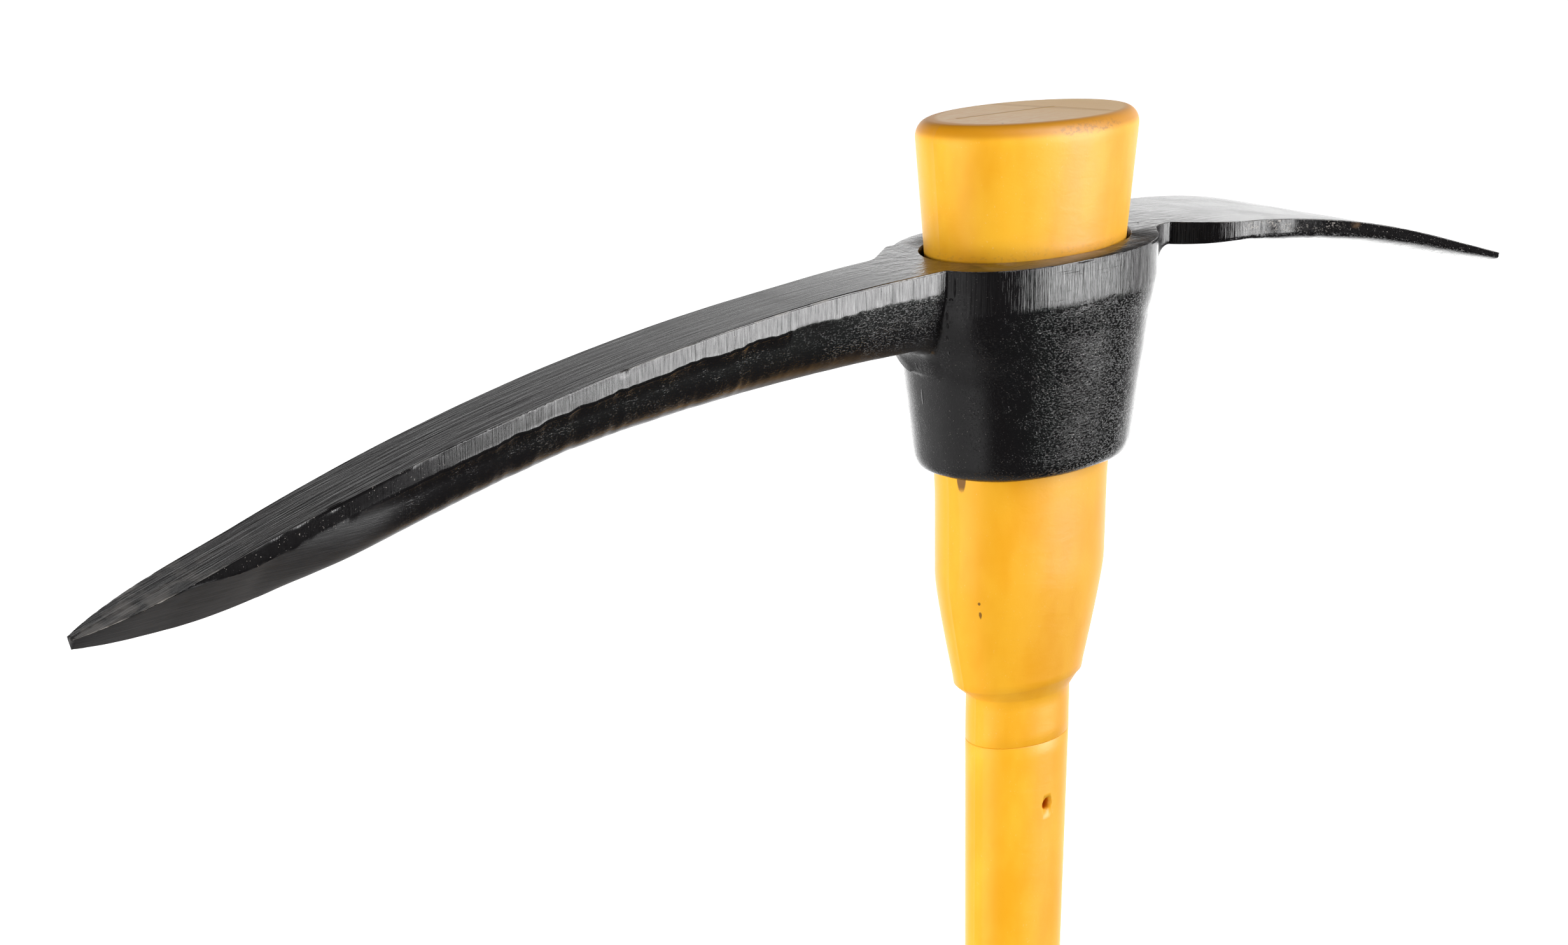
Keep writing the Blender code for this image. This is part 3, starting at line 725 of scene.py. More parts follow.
# %% One method for every other node
class Graph:
    """The nodes of a material or of the world."""

    def __init__(self, tree):
        self.tree = tree

    def node(self, kind, settings=None, inputs=None, output=0):
        made = self.tree.nodes.new(kind)
        for key, value in (settings or {}).items():
            setattr(made, key, value)
        for key, value in (inputs or {}).items():
            if isinstance(value, Tone):
                self.tree.links.new(value.socket, made.inputs[key])
            else:
                made.inputs[key].default_value = value
        return Tone(self, made.outputs[output])

    def place(self):
        return self.node("ShaderNodeTexCoord", output="Object")

    def attribute(self, name, output="Fac"):
        return self.node("ShaderNodeAttribute", {"attribute_name": name}, output=output)

    def axis(self, vector, which):
        return self.node("ShaderNodeSeparateXYZ", inputs={"Vector": vector}, output="XYZ".index(which))

    def vectors(self, operation, first, second=(0, 0, 0), output=0):
        """One sum with whole vectors, such as a difference or a length."""
        return self.node("ShaderNodeVectorMath", {"operation": operation}, {0: first, 1: second}, output)

    def turned(self, vector, turn):
        """The same coordinates, turned about the X axis."""
        return self.node("ShaderNodeVectorRotate", {"rotation_type": "X_AXIS"},
                         {"Vector": vector, "Angle": turn})

    def noise(self, vector, sizes, detail=2.0, roughness=0.5, distortion=0.0):
        """Noise from about 0.3 to 0.7 whose lumps have these sizes in millimetres along X, Y and Z."""
        return self.node("ShaderNodeTexNoise", {"noise_dimensions": "3D"},
                         {"Vector": self.vectors("DIVIDE", vector, mm(*sizes)), "Scale": 1.0,
                          "Detail": detail, "Roughness": roughness, "Distortion": distortion})

    def colours(self, share, low, high):
        """A mix of two colours, each a tone or its red, green and blue."""
        low, high = (colour if isinstance(colour, Tone) else (*colour, 1.0) for colour in (low, high))
        return self.node("ShaderNodeMix", {"data_type": "RGBA"}, {"Factor": share, 6: low, 7: high}, output=2)

    def spot(self, vector, middle, reach):
        """1 in the middle of an egg-shaped spot and 0 outside it."""
        away = self.vectors("SUBTRACT", vector, middle)
        return self.vectors("LENGTH", self.vectors("DIVIDE", away, reach), output="Value").rise(1.0, 0.3)

    def bump(self, height, depth, under=None):
        """Height from 0 to 1 stands for a real depth in metres."""
        inputs = {"Height": height, "Strength": 1.0, "Distance": depth}
        if under is not None:
            inputs["Normal"] = under
        return self.node("ShaderNodeBump", inputs=inputs)


class Finish(Graph):
    """A material whose constant values go straight on the shader."""

    def __init__(self, name, **constants):
        self.material = bpy.data.materials.new(name)
        self.material.use_nodes = True
        super().__init__(self.material.node_tree)
        self.shader = self.tree.nodes["Principled BSDF"]
        for socket, value in constants.items():
            self.shader.inputs[socket.replace("_", " ")].default_value = value

    def feed(self, **inputs):
        for socket, tone in inputs.items():
            self.tree.links.new(tone.socket, self.shader.inputs[socket.replace("_", " ")])


# %% Put a finished shape in place of its plain solid
def piece(name, shape, finish, body, node):
    """Place a shape's mesh, give it its finish, hide the plain solid it stands for and hang it on its body.
    """
    item = shape if isinstance(shape, bpy.types.Object) else as_object(name, shape)
    item.data.shade_smooth()
    item.data.materials.clear()
    item.data.materials.append(finish.material)
    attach(item, body)
    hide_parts(node)
    low = [min(vert.co[axis] for vert in item.data.vertices) for axis in range(3)]
    high = [max(vert.co[axis] for vert in item.data.vertices) for axis in range(3)]
    print(name, len(item.data.polygons), "faces", [round((b - a) / MM, 1) for a, b in zip(low, high)], "mm")
    return item


# %% [markdown]
# The enamel is one coat over every kind of skin. It shines the same all over; what changes is the steel
# below it. Sheared sides carry upright stripes, the flanks pits and drawn-out scale, the top face and the
# ground point fine parallel lines. Dust dulls the top, and the sharp edges are rubbed bare.

# %% Enamel
enamel = Finish("black_enamel", IOR=1.6)
place = enamel.place()
flow = enamel.attribute("flow", "Vector")
top_face, trimmed, ground, worn_edge = (enamel.attribute(name) for name in LAYERS)
rough_skin = (1 - top_face - trimmed - ground).at_least(0.0)


def streaks(length, width, height, detail=3.0, roughness=0.6):
    """Noise with lumps of these millimetres along the blade, across it and down it."""
    return enamel.noise(flow, (length, width, height), detail, roughness)


mottle = streaks(22, 22, 22, 4.0)
patches = streaks(7, 7, 7, 3.0)


# %% Steel under the enamel
# Each height is made of noise stretched along the way the steel was worked.
along = enamel.axis(flow, "X")
fine_stripes = streaks(0.35, 0.35, 30, 3.0, 0.6)
broad_stripes = streaks(1.6, 1.6, 45, 2.0)
tear_lines = streaks(14, 14, 0.35, 1.0).rise(0.66, 0.74) * patches.rise(0.45, 0.6)
tear_lines = tear_lines * along.rise_mm(-50, -20) * along.rise_mm(80, 50)
shorn = 0.6 * fine_stripes + 0.45 * broad_stripes - 0.25 * tear_lines
drawn_scale = streaks(1.4, 0.8, 0.5, 3.0, 0.65)
pits = streaks(0.8, 0.5, 0.38, 1.0).rise(0.64, 0.76)
lumps = streaks(4.5, 3, 2.5, 2.0)
flaky = streaks(1.0, 0.6, 0.4, 2.0, 0.55).rise(0.53, 0.72)
ground_lines = enamel.noise(place, (9, 9, 0.22), 3.0, 0.6)
top_lines = streaks(26, 0.4, 9, 4.0, 0.6)
wide_lines = streaks(42, 1.7, 20, 3.0, 0.65)
top_grain = streaks(2.2, 0.7, 2, 2.0)
wrinkles = streaks(5, 2.6, 5, 4.0, 0.6)
by_the_eye = top_face * abs(along).rise_mm(80, 50)
on_pick = along.rise_mm(-47, -49)
rougher = 0.3 + 0.6 * along.rise_mm(-28, -8) + 0.3 * patches.rise(0.45, 0.6)
rougher = rougher + on_pick * along.rise_mm(-120, -60) * (0.1 + 0.6 * patches.rise(0.45, 0.6))
rougher = rougher * (1 - 0.6 * on_pick * along.rise_mm(-60, -100))

# The drift that opened the eye drew its near rim down a little, so that rim leans towards the camera.
NEAR_RIM_LEAN = (0.0, -0.33, 0.0)
on_near_rim = top_face * enamel.axis(flow, "Y").rise_mm(-10, -16) * abs(along).rise_mm(50, 30)
lean = enamel.node("ShaderNodeVectorMath", {"operation": "SCALE"}, {0: NEAR_RIM_LEAN, "Scale": on_near_rim})
square = enamel.node("ShaderNodeNewGeometry", output="Normal")
leaning = enamel.vectors("NORMALIZE", enamel.vectors("ADD", square, lean))

height = enamel.bump(shorn * trimmed * (1 - 0.35 * on_pick), 0.2 * MM, leaning)
height = enamel.bump(lumps * rough_skin * rougher, 0.06 * MM, height)
scale_and_pits = 0.3 * drawn_scale + 0.55 * flaky - 0.6 * pits
height = enamel.bump(scale_and_pits * rough_skin * rougher, 0.19 * MM, height)
height = enamel.bump(ground_lines * ground, 0.07 * MM, height)
towards_point = along.rise_mm(-90, -230)
height = enamel.bump(wide_lines * top_face * (0.35 + 0.7 * towards_point), 0.22 * MM, height)
height = enamel.bump((0.6 * top_lines + 0.4 * top_grain) * top_face, 0.08 * MM, height)
height = enamel.bump(wrinkles * by_the_eye, 0.28 * MM, height)

# %% Marks of the drift, the trimming die and the paint
# Enamel ran down beside the crease and on the web below the pick, and the trimming die left a few scores.
RAISED = [((-47.2, -14.6, -5.0), (0.35, 0.35, 3.4)), ((-47.6, -13.6, -8.6), (0.7, 0.7, 0.5)),
          ((-48.0, -12.4, -13.5), (0.4, 0.4, 1.6)), ((-47.6, -12.3, -16.6), (0.35, 0.35, 1.9)),
          ((-46.8, -11.4, -20.6), (0.35, 0.4, 1.8)), ((-45.0, -10.5, -25.2), (0.4, 0.4, 1.6)),
          ((-43.8, 3.5, -32.5), (0.6, 0.5, 3.5)), ((-40.5, 4.1, -41.5), (0.6, 0.5, 4.5)),
          ((-29.5, -28.0, -6.5), (0.3, 1.5, 8.5)), ((-28.2, -28.3, -7.0), (0.25, 1.5, 9.5)),
          ((-39.5, -2.5, -57.0), (1.2, 1.2, 2.0))]
runs = enamel.spot(flow, (0, 0, 1.0), (MM, MM, MM))
for middle, reach in RAISED:
    runs = runs.at_least(enamel.spot(flow, mm(*middle), mm(*reach)))
height = enamel.bump(runs, 0.22 * MM, height)

# %% Dust, rubbed edges and flakes
at_ends = along.rise_mm(-285, -312) + along.rise_mm(185, 197)
rubbed = (worn_edge * (0.25 + at_ends) * 1.6 * patches.rise(0.42, 0.62)).at_most(1.0)
flaking = (0.15 + along.rise_mm(-225, -260) + 1.3 * along.rise_mm(85, 125)) * trimmed
flakes = streaks(0.5, 0.5, 0.5, 1.0).rise(0.705, 0.755)
flakes = flakes * (flaking + 0.45 * rough_skin * rougher).at_most(1.0)
chipped = trimmed * along.rise_mm(70, 80) * along.rise_mm(122, 108)
chipped = chipped * enamel.axis(flow, "Z").rise_mm(-5.5, -1.5) * lumps.rise(0.42, 0.55)
chips = streaks(1.0, 1.0, 0.7, 2.0).rise(0.53, 0.59) * chipped
bare = rubbed.at_least(flakes).at_least(0.8 * chips)
dust = top_face * mottle.rise(0.35, 0.75) * (0.12 + 0.88 * along.rise_mm(-250, -150))
black = enamel.colours(dust, (0.0078, 0.0072, 0.0077), (0.016, 0.014, 0.014))
black = enamel.colours(top_face * top_lines.rise(0.45, 0.75), black, (0.018, 0.0165, 0.0165))
black = enamel.colours(ground * ground_lines.rise(0.35, 0.7), black, (0.026, 0.025, 0.026))
colour = enamel.colours(bare, black, (0.36, 0.33, 0.30))
drip = enamel.spot(flow, mm(125, -30.5, -1.0), mm(3.2, 3, 1.8)) * patches.rise(0.35, 0.55)
colour = enamel.colours(0.7 * drip, colour, (0.16, 0.10, 0.06))
away_from_eye = abs(along).rise_mm(48, 110)
roughness = 0.12 + 0.05 * mottle * (1 - top_face)
roughness = roughness + 0.38 * ground * along.rise_mm(-212, -250)
roughness = roughness + 0.09 * on_pick * rough_skin + 0.25 * bare + 0.2 * worn_edge * at_ends
roughness = roughness + top_face * (0.02 + 0.10 * away_from_eye) + 0.06 * dust
under_root = on_pick * enamel.axis(flow, "Z").rise_mm(-17, -23) * along.rise_mm(-150, -110)
roughness = roughness + 0.3 * under_root
enamel.feed(Base_Color=colour, Roughness=roughness, Normal=height)

bmesh.ops.translate(skin_of_head, verts=skin_of_head.verts[:], vec=(0, 0, HEAD_TOP_Z))
skin_of_head.to_mesh(head.data)
skin_of_head.free()
piece("head_forging", head, enamel, "head", "forged_head")

# %% [markdown]
# The handle's yellow mouldings were cast in a split mould round the glass rod. Their ovals are skinned
# from many close rings. The mould's two halves meet on the pick's side and on the adze's side, and leave
# a fine raised line there, which is real shape here.

# %% Sizes of the bulb and the shaft
RIM_HALF_LENGTH = 41.1 * MM
RIM_RADIUS = 5 * MM
RIM_FLAT_HALF_LENGTH = 36.7 * MM
BULB_TOP_TILT = math.radians(1.5)
CAP_SLOPE = math.radians(1.0)
CAP_LEAN = math.radians(1.9)
HANDLE_TOP_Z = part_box("eye_bulb")[1].z - RIM_FLAT_HALF_LENGTH * math.tan(BULB_TOP_TILT)
CAP_STAND_PROUD = HANDLE_TOP_Z - HEAD_TOP_Z
WEDGE_DEPTH = 76 * MM
BELLY_TAPER = 0.012
BELLY_DEPTH = 102 * MM
NOSE_DEPTH = 137 * MM
NOSE_HALF_LENGTH = 24.5 * MM
SHAFT_ASPECT = 1.443
CUFF_HALF_LENGTH = 19.2 * MM
CUFF_TOP_DEPTH = NOSE_DEPTH + 4 * MM
CUFF_LENGTH = 15.6 * MM
SHAFT_HALF_LENGTH = 17.2 * MM
CUFF_FOOT_Z = HEAD_TOP_Z - CUFF_TOP_DEPTH - CUFF_LENGTH
JACKET_TOP_Z = CUFF_FOOT_Z - 0.05 * MM
SHAFT_WAIST_Z = JACKET_TOP_Z - 130 * MM
ROD_HALF_LENGTH = 13.3 * MM
ROD_HALF_WIDTH = 8.3 * MM
PARTING_WIDTH = 0.5 * MM
PARTING_HEIGHT = 0.12 * MM


# %% Moulded rings with a parting line
def moulded_ring(half_length, half_width, z, line=1.0):
    """An oval with the raised line of the mould's joint at both of its long ends."""
    points = []
    reach = PARTING_WIDTH / half_width
    for step in range(OVAL_POINTS):
        turn = 2 * math.pi * step / OVAL_POINTS
        away = math.sin(turn)
        if step % (OVAL_POINTS // 2) in (1, OVAL_POINTS // 2 - 1):
            away = math.copysign(reach / 2, away)
        cosine = math.copysign(math.sqrt(1 - away * away), math.cos(turn))
        ridge = PARTING_HEIGHT * line if step % (OVAL_POINTS // 2) == 0 else 0.0
        points.append(((half_length + ridge) * cosine, half_width * away, z))
    return points


def bulb_half_length(depth):
    wedge_end = EYE_HALF_LENGTH - EYE_TAPER * WEDGE_DEPTH
    belly_end = wedge_end - BELLY_TAPER * (BELLY_DEPTH - WEDGE_DEPTH)
    if depth < 0:
        rim_start = CAP_STAND_PROUD - RIM_RADIUS
        return EYE_HALF_LENGTH + (RIM_HALF_LENGTH - EYE_HALF_LENGTH) * -depth / rim_start
    if depth <= WEDGE_DEPTH:
        return EYE_HALF_LENGTH - EYE_TAPER * depth
    if depth <= BELLY_DEPTH:
        return wedge_end - BELLY_TAPER * (depth - WEDGE_DEPTH)
    share = (depth - BELLY_DEPTH) / (NOSE_DEPTH - BELLY_DEPTH)
    return between(belly_end, NOSE_HALF_LENGTH, share ** 1.15)


def soft_bulb_half_length(depth, reach=2.5 * MM):
    """The same outline with its corners eased, as a mould's are."""
    places = [depth + reach * step / 3 for step in range(-3, 4)]
    return sum(bulb_half_length(min(place, NOSE_DEPTH)) for place in places) / len(places)


# %% Bulb
CAP_STEPS = 10
FLAT_RINGS = 8
NOSE_CHAMFER = 0.7 * MM
BULB_RING_STEP = 2.6 * MM
CREASE_ENDS_SHARP = 16
CAP_LINE = [(-26, 5.1), (-8.4, 4.2), (5.2, 3.4), (14.5, 2.6), (16.4, -6.6), (18.5, -15.5)]


def cap_lift(x, y):
    """The flat top was cut a little out of square: higher towards the pick and towards the near side."""
    return -x * math.tan(CAP_SLOPE) - y * math.tan(CAP_LEAN)


def cap_rings():
    rings = []
    draw_in = RIM_HALF_LENGTH - RIM_FLAT_HALF_LENGTH
    rim_half_width = RIM_HALF_LENGTH / BULB_ASPECT
    for turn in quarter_turn(CAP_STEPS):
        inset = draw_in * (1 - math.cos(turn))
        z = HANDLE_TOP_Z - RIM_RADIUS * (1 - math.sin(turn))
        ring = moulded_ring(RIM_HALF_LENGTH - inset, rim_half_width - inset, z, math.cos(turn))
        rings.append([(x, y, z + cap_lift(x, y) * math.sin(turn)) for x, y, z in ring])
    outer = rings[-1]
    for step in range(1, FLAT_RINGS):
        share = 1 - step / FLAT_RINGS
        inner = [(x * share, y * share) for x, y, z in outer]
        rings.append([(x, y, HANDLE_TOP_Z + cap_lift(x, y)) for x, y in inner])
    return rings


def bulb_shape():
    cuff_half_width = CUFF_HALF_LENGTH / SHAFT_ASPECT
    rings = [oval(ROD_HALF_LENGTH, ROD_HALF_WIDTH, HANDLE_TOP_Z - 14 * MM),
             oval(ROD_HALF_LENGTH, ROD_HALF_WIDTH, CUFF_FOOT_Z)]
    rings += [moulded_ring(CUFF_HALF_LENGTH - inset, cuff_half_width - inset, z) for inset, z in
              ((0.12 * MM, CUFF_FOOT_Z), (0.0, CUFF_FOOT_Z + 0.2 * MM))]
    cuff_top_z = HEAD_TOP_Z - CUFF_TOP_DEPTH
    heights = [CUFF_FOOT_Z + (cuff_top_z - CUFF_FOOT_Z) * step / 4 for step in range(1, 4)]
    rings += [moulded_ring(CUFF_HALF_LENGTH, cuff_half_width, z) for z in heights]
    rings.append(moulded_ring(CUFF_HALF_LENGTH, cuff_half_width, cuff_top_z - 0.6 * MM))
    rings.append(moulded_ring(CUFF_HALF_LENGTH + 0.4 * MM, cuff_half_width + 0.4 * MM, cuff_top_z))
    nose = soft_bulb_half_length(NOSE_DEPTH)
    rings.append(moulded_ring(nose - NOSE_CHAMFER, nose / BULB_ASPECT - NOSE_CHAMFER,
                              HEAD_TOP_Z - NOSE_DEPTH - NOSE_CHAMFER))
    depths = [NOSE_DEPTH - BULB_RING_STEP * step for step in range(200)]
    depths = [depth for depth in depths if depth > -(CAP_STAND_PROUD - RIM_RADIUS) + 1 * MM]
    for depth in depths:
        half_length = soft_bulb_half_length(depth)
        rings.append(moulded_ring(half_length, half_length / BULB_ASPECT, HEAD_TOP_Z - depth))
    return skin(rings + cap_rings())


# %% Jacket with its pin holes
PIN_HOLE_RADIUS = 2.25 * MM
PIN_HOLE_Z = CUFF_FOOT_Z - 21 * MM
BOOT_FLOOR = 6 * MM
BOOT_LENGTH = 240 * MM


def shaft_half_length(z):
    share = min(max((z - SHAFT_WAIST_Z) / (JACKET_TOP_Z - SHAFT_WAIST_Z), 0.0), 1.0)
    return between(SHAFT_HALF_LENGTH, CUFF_HALF_LENGTH, share)


def shaft_ring(z, extra=0.0, line=0.0):
    half_length = shaft_half_length(z)
    return moulded_ring(half_length + extra, half_length / SHAFT_ASPECT + extra, z, line)


def jacket_shape():
    foot = BOOT_FLOOR + 0.3 * MM
    heights = [foot, BOOT_LENGTH - 2 * MM]
    rings = [shaft_ring(z) for z in heights]
    rings += [shaft_ring(BOOT_LENGTH + 1 * MM + (SHAFT_WAIST_Z - BOOT_LENGTH) * step / 40, 0.0, 1.0)
              for step in range(40)]
    rings += [shaft_ring(SHAFT_WAIST_Z + (JACKET_TOP_Z - 0.2 * MM - SHAFT_WAIST_Z) * step / 30, 0.0, 1.0)
              for step in range(1, 31)]
    rings.append(shaft_ring(JACKET_TOP_Z, -0.12 * MM, 0.5))
    rings += [oval(ROD_HALF_LENGTH, ROD_HALF_WIDTH, z) for z in (JACKET_TOP_Z, foot)]
    return skin(rings, ring_shaped=True)


def pin_shape():
    shape = bmesh.new()
    placing = Matrix.Translation((0, 0, PIN_HOLE_Z)) @ Matrix.Rotation(math.pi / 2, 4, "X")
    bmesh.ops.create_cone(shape, cap_ends=True, segments=32, radius1=PIN_HOLE_RADIUS, radius2=PIN_HOLE_RADIUS,
                          depth=4 * CUFF_HALF_LENGTH, matrix=placing)
    return shape


# %% [markdown]
# The yellow is dyed right through, so it has no coat to wear. What shows is handling: clouds, faint pale
# scratches, a dusty film on the flat top where the tool was stood on its head, black enamel rubbed off by
# the eye and a few dark scuffs. Painted shade darkens the cap's rounded rim, the crease in the film, the
# bulb from just above the head's top downwards and the inside of the pin hole.

# %% Yellow plastic
def yellow(name):
    """The plastic and its place, colour, roughness and bump, for marks to be added."""
    finish = Finish(name, Specular_IOR_Level=0.65)
    place = finish.place()
    clouds = finish.noise(place, (14, 14, 30), 3.0, 0.55)
    flow_marks = finish.noise(place, (9, 9, 4), 4.0, 0.6, 0.6)
    colour = finish.colours(clouds.rise(0.3, 0.7), (0.865, 0.395, 0.012), (0.925, 0.475, 0.026))
    specks = finish.noise(place, (0.55, 0.55, 0.8), 1.0).rise(0.70, 0.80)
    scratches = finish.noise(finish.turned(place, 0.5), (0.25, 0.25, 7), 1.0)
    scratches = scratches.rise(0.70, 0.78) * flow_marks.rise(0.52, 0.64)
    pale = (0.45 * specks + 0.8 * scratches) * clouds.rise(0.35, 0.6)
    colour = finish.colours(pale, colour, (0.95, 0.66, 0.24))
    grain = finish.noise(place, (0.9, 0.9, 0.9), 3.0, 0.6)
    height = finish.bump(flow_marks, 0.10 * MM)
    height = finish.bump(grain - 0.6 * scratches, 0.02 * MM, height)
    roughness = 0.36 + 0.12 * clouds + 0.08 * flow_marks
    return finish, place, colour, roughness, height


# %% Marks on the bulb
def by_head(x, y, up):
    """A place in millimetres from the handle's axis and up from the head's top face."""
    return (x * MM, y * MM, HEAD_TOP_Z + up * MM)


SCUFFS = [(by_head(11, -24.8, 37.6), mm(1.3, 1.3, 0.8)), ((*mm(-25, -12), HANDLE_TOP_Z), mm(0.8, 0.8, 1.5)),
          (by_head(-27.9, -8.7, -110.5), mm(1.2, 0.7, 2.3)), (by_head(-28, -8.6, -106.3), mm(0.8, 0.6, 0.8))]


def used_bulb():
    finish, place, colour, roughness, height = yellow("bulb_plastic")
    x, y, z = (finish.axis(place, name) for name in "XYZ")

    def above_head(start, end):
        return z.rise(HEAD_TOP_Z + start * MM, HEAD_TOP_Z + end * MM)

    below_cap = HANDLE_TOP_Z - (z + x * math.tan(CAP_SLOPE) + y * math.tan(CAP_LEAN))
    blotches = finish.noise(place, (1.5, 1.5, 1.0), 4.0, 0.65)
    film_grain = finish.noise(place, (5, 1.5, 5), 4.0, 0.6)

    # The cap's rounded rim is painted darker orange: painted shade where the rim turns away from the light.
    rim_shade = below_cap.rise_mm(4.6, 2.4)
    colour = finish.colours(0.9 * rim_shade, colour, (0.62, 0.25, 0.007))
    flat = finish.spot(place, (*mm(1.5, 0.3), HANDLE_TOP_Z), mm(40, 24, 12)).rise(0.02, 0.12)
    film = (below_cap + 0.25 * MM * (film_grain - 0.5)).rise_mm(1.0, 0.4) * flat
    crease = below_cap * 0.0
    for (x0, y0), (x1, y1) in zip(CAP_LINE, CAP_LINE[1:]):
        span = math.hypot(x1 - x0, y1 - y0)
        way = ((x1 - x0) / span, (y1 - y0) / span)
        forth = way[0] * (x - x0 * MM) + way[1] * (y - y0 * MM)
        aside = abs(way[0] * (y - y0 * MM) - way[1] * (x - x0 * MM))
        inside = forth.rise_mm(-0.4, 0.2) * forth.rise((span + 0.4) * MM, (span - 0.2) * MM)
        crease = crease.at_least(aside.rise_mm(0.9, 0.2) * inside * (1.0 if x1 < CREASE_ENDS_SHARP else 0.45))
    wiped = abs(0.961 * (x - 9.1 * MM) + 0.278 * (y - 11.6 * MM)).rise_mm(2.4, 0.9)
    dust_and_crease_shade = finish.colours(film_grain.rise(0.35, 0.65), (0.92, 0.62, 0.37), (0.97, 0.73, 0.49))
    dust_and_crease_shade = finish.colours((x / (60 * MM) + 0.45).rise(0.0, 1.0), dust_and_crease_shade, (0.90, 0.60, 0.30))
    dust_and_crease_shade = finish.colours(0.35 * wiped, dust_and_crease_shade, (0.60, 0.33, 0.10))
    # Along the crease the film is painted darker: painted shade in the dent, whose shape comes from the bump
    # below.
    dust_and_crease_shade = finish.colours(0.85 * crease, dust_and_crease_shade, (0.60, 0.31, 0.05))
    height = finish.bump(crease * film, 0.3 * MM, height)
    colour = finish.colours(film, colour, dust_and_crease_shade)

    smudges = finish.spot(place, by_head(0, -24, 37), mm(19, 3.5, 2.6))
    smudges = 1.5 * smudges * blotches.rise(0.46, 0.74)
    colour = finish.colours(smudges.at_most(0.6), colour, (0.34, 0.15, 0.02))
    for middle, reach in SCUFFS:
        scuff = (finish.spot(place, middle, reach) + 0.9 * (blotches - 0.5)).rise(0.25, 0.6)
        scuff = scuff * finish.spot(place, middle, tuple(2 * size for size in reach)).rise(0.0, 0.2)
        colour = finish.colours(0.9 * scuff, colour, (0.07, 0.035, 0.012))
    wipe = finish.spot(place, by_head(-32.2, -4.4, -67), mm(3, 2.0, 6.5))
    runs = finish.noise(place, (0.8, 0.8, 9), 2.0)
    wipe = (1.3 * wipe + 0.8 * (runs - 0.5)).rise(0.3, 0.75)
    wipe = wipe * above_head(-72.5, -69.5)
    colour = finish.colours(0.92 * wipe, colour, (0.03, 0.022, 0.015))
    # Round the eye's top the brown blotches are partly black enamel rubbed off and partly painted shade.
    eye_rub_and_shade = above_head(-6, -1) * above_head(5, 0.5)
    # A plain painted shade darkens the bulb from 5 mm above the head's top face downwards.
    colour = finish.colours(above_head(5, 0) * 0.18, colour, (0.62, 0.23, 0.006))
    colour = finish.colours(0.35 * eye_rub_and_shade * blotches.rise(0.5, 0.7), colour, (0.45, 0.22, 0.05))
    finish.feed(Base_Color=colour, Roughness=roughness + 0.15 * film, Normal=height)
    return finish


# %% Shaft plastic
def shaft_plastic():
    finish, place, colour, roughness, height = yellow("jacket_plastic")
    z = finish.axis(place, "Z")
    seam = abs(z - JACKET_TOP_Z).rise_mm(0.7, 0.1)
    pin_hole_shade = finish.spot(place, (0, -12 * MM, PIN_HOLE_Z), (3.0 * MM, 30 * MM, 3.0 * MM))
    depth = (12.4 * MM - abs(finish.axis(place, "Y"))).rise_mm(0.3, 2.5)
    colour = finish.colours(0.25 * seam, colour, (0.70, 0.36, 0.03))
    # Deeper in the pin hole the yellow turns darker orange: painted shade in the hole.
    colour = finish.colours(0.8 * depth * pin_hole_shade.rise(0.0, 0.2), colour, (0.75, 0.24, 0.01))
    finish.feed(Base_Color=colour, Roughness=roughness, Normal=height)
    return finish


piece("bulb_moulding", bulb_shape(), used_bulb(), "handle", "eye_bulb")
jacket = as_object("jacket_moulding", jacket_shape())
carve(jacket, as_object("pin", pin_shape()), "DIFFERENCE")
piece("jacket_moulding", jacket, shaft_plastic(), "handle", "handle_jacket")

# %% Rubber boot
BOOT_WALL = 2.6 * MM
BOOT_FLARE = 3 * MM
BOOT_EDGE = 3 * MM
BOOT_KNOB = 26 * MM
GROOVES = 12
FIRST_GROOVE = 44 * MM
GROOVE_HALF_WIDTH = 1.5 * MM
GROOVE_DEPTH = 1.2 * MM
BOOT_LIP_LENGTH = 10 * MM
BOOT_LIP_DROP = 1.3 * MM


def boot_outline():
    """Height and growth past the shaft, up the boot: the knob, the grooves and the thin lip."""
    outline = [(BOOT_EDGE * (1 - math.cos(turn)), BOOT_WALL + BOOT_FLARE - BOOT_EDGE * (1 - math.sin(turn)))
               for turn in quarter_turn(6)]
    for step in range(1, 12):
        z = BOOT_EDGE + (BOOT_KNOB - BOOT_EDGE) * step / 11
        outline.append((z, BOOT_WALL + BOOT_FLARE * (1 - ease(z, BOOT_KNOB * 0.35, BOOT_KNOB))))
    for groove in range(GROOVES):
        middle = FIRST_GROOVE + groove * 15 * MM
        for step in range(9):
            turn = math.pi * step / 8
            outline.append((middle - GROOVE_HALF_WIDTH * math.cos(turn),
                            BOOT_WALL - GROOVE_DEPTH * math.sin(turn) ** 1.5))
    outline.append((BOOT_LENGTH - BOOT_LIP_LENGTH, BOOT_WALL))
    for turn in quarter_turn(5, 1):
        outline.append((BOOT_LENGTH - BOOT_LIP_LENGTH * (1 - math.sin(turn)),
                        BOOT_WALL - BOOT_LIP_DROP * (1 - math.cos(turn))))
    return outline


def boot_shape():
    rings = [shaft_ring(BOOT_FLOOR, 0.3 * MM), shaft_ring(BOOT_LENGTH, 0.3 * MM)]
    rings += [shaft_ring(z, growth) for z, growth in reversed(boot_outline())]
    return skin(rings)


rubber = Finish("boot_rubber", Roughness=0.7)
rubber_place = rubber.place()
rubber_grain = rubber.noise(rubber_place, (0.8, 0.8, 0.8), 4.0, 0.6)
rubber_dust = rubber.noise(rubber_place, (25, 25, 40), 4.0, 0.6)
rubber.feed(Base_Color=rubber.colours(rubber_dust, (0.018, 0.018, 0.019), (0.035, 0.034, 0.033)),
            Roughness=0.6 + 0.25 * rubber_dust, Normal=rubber.bump(rubber_grain, 0.12 * MM))
piece("butt_boot", boot_shape(), rubber, "handle", "rubber_grip")

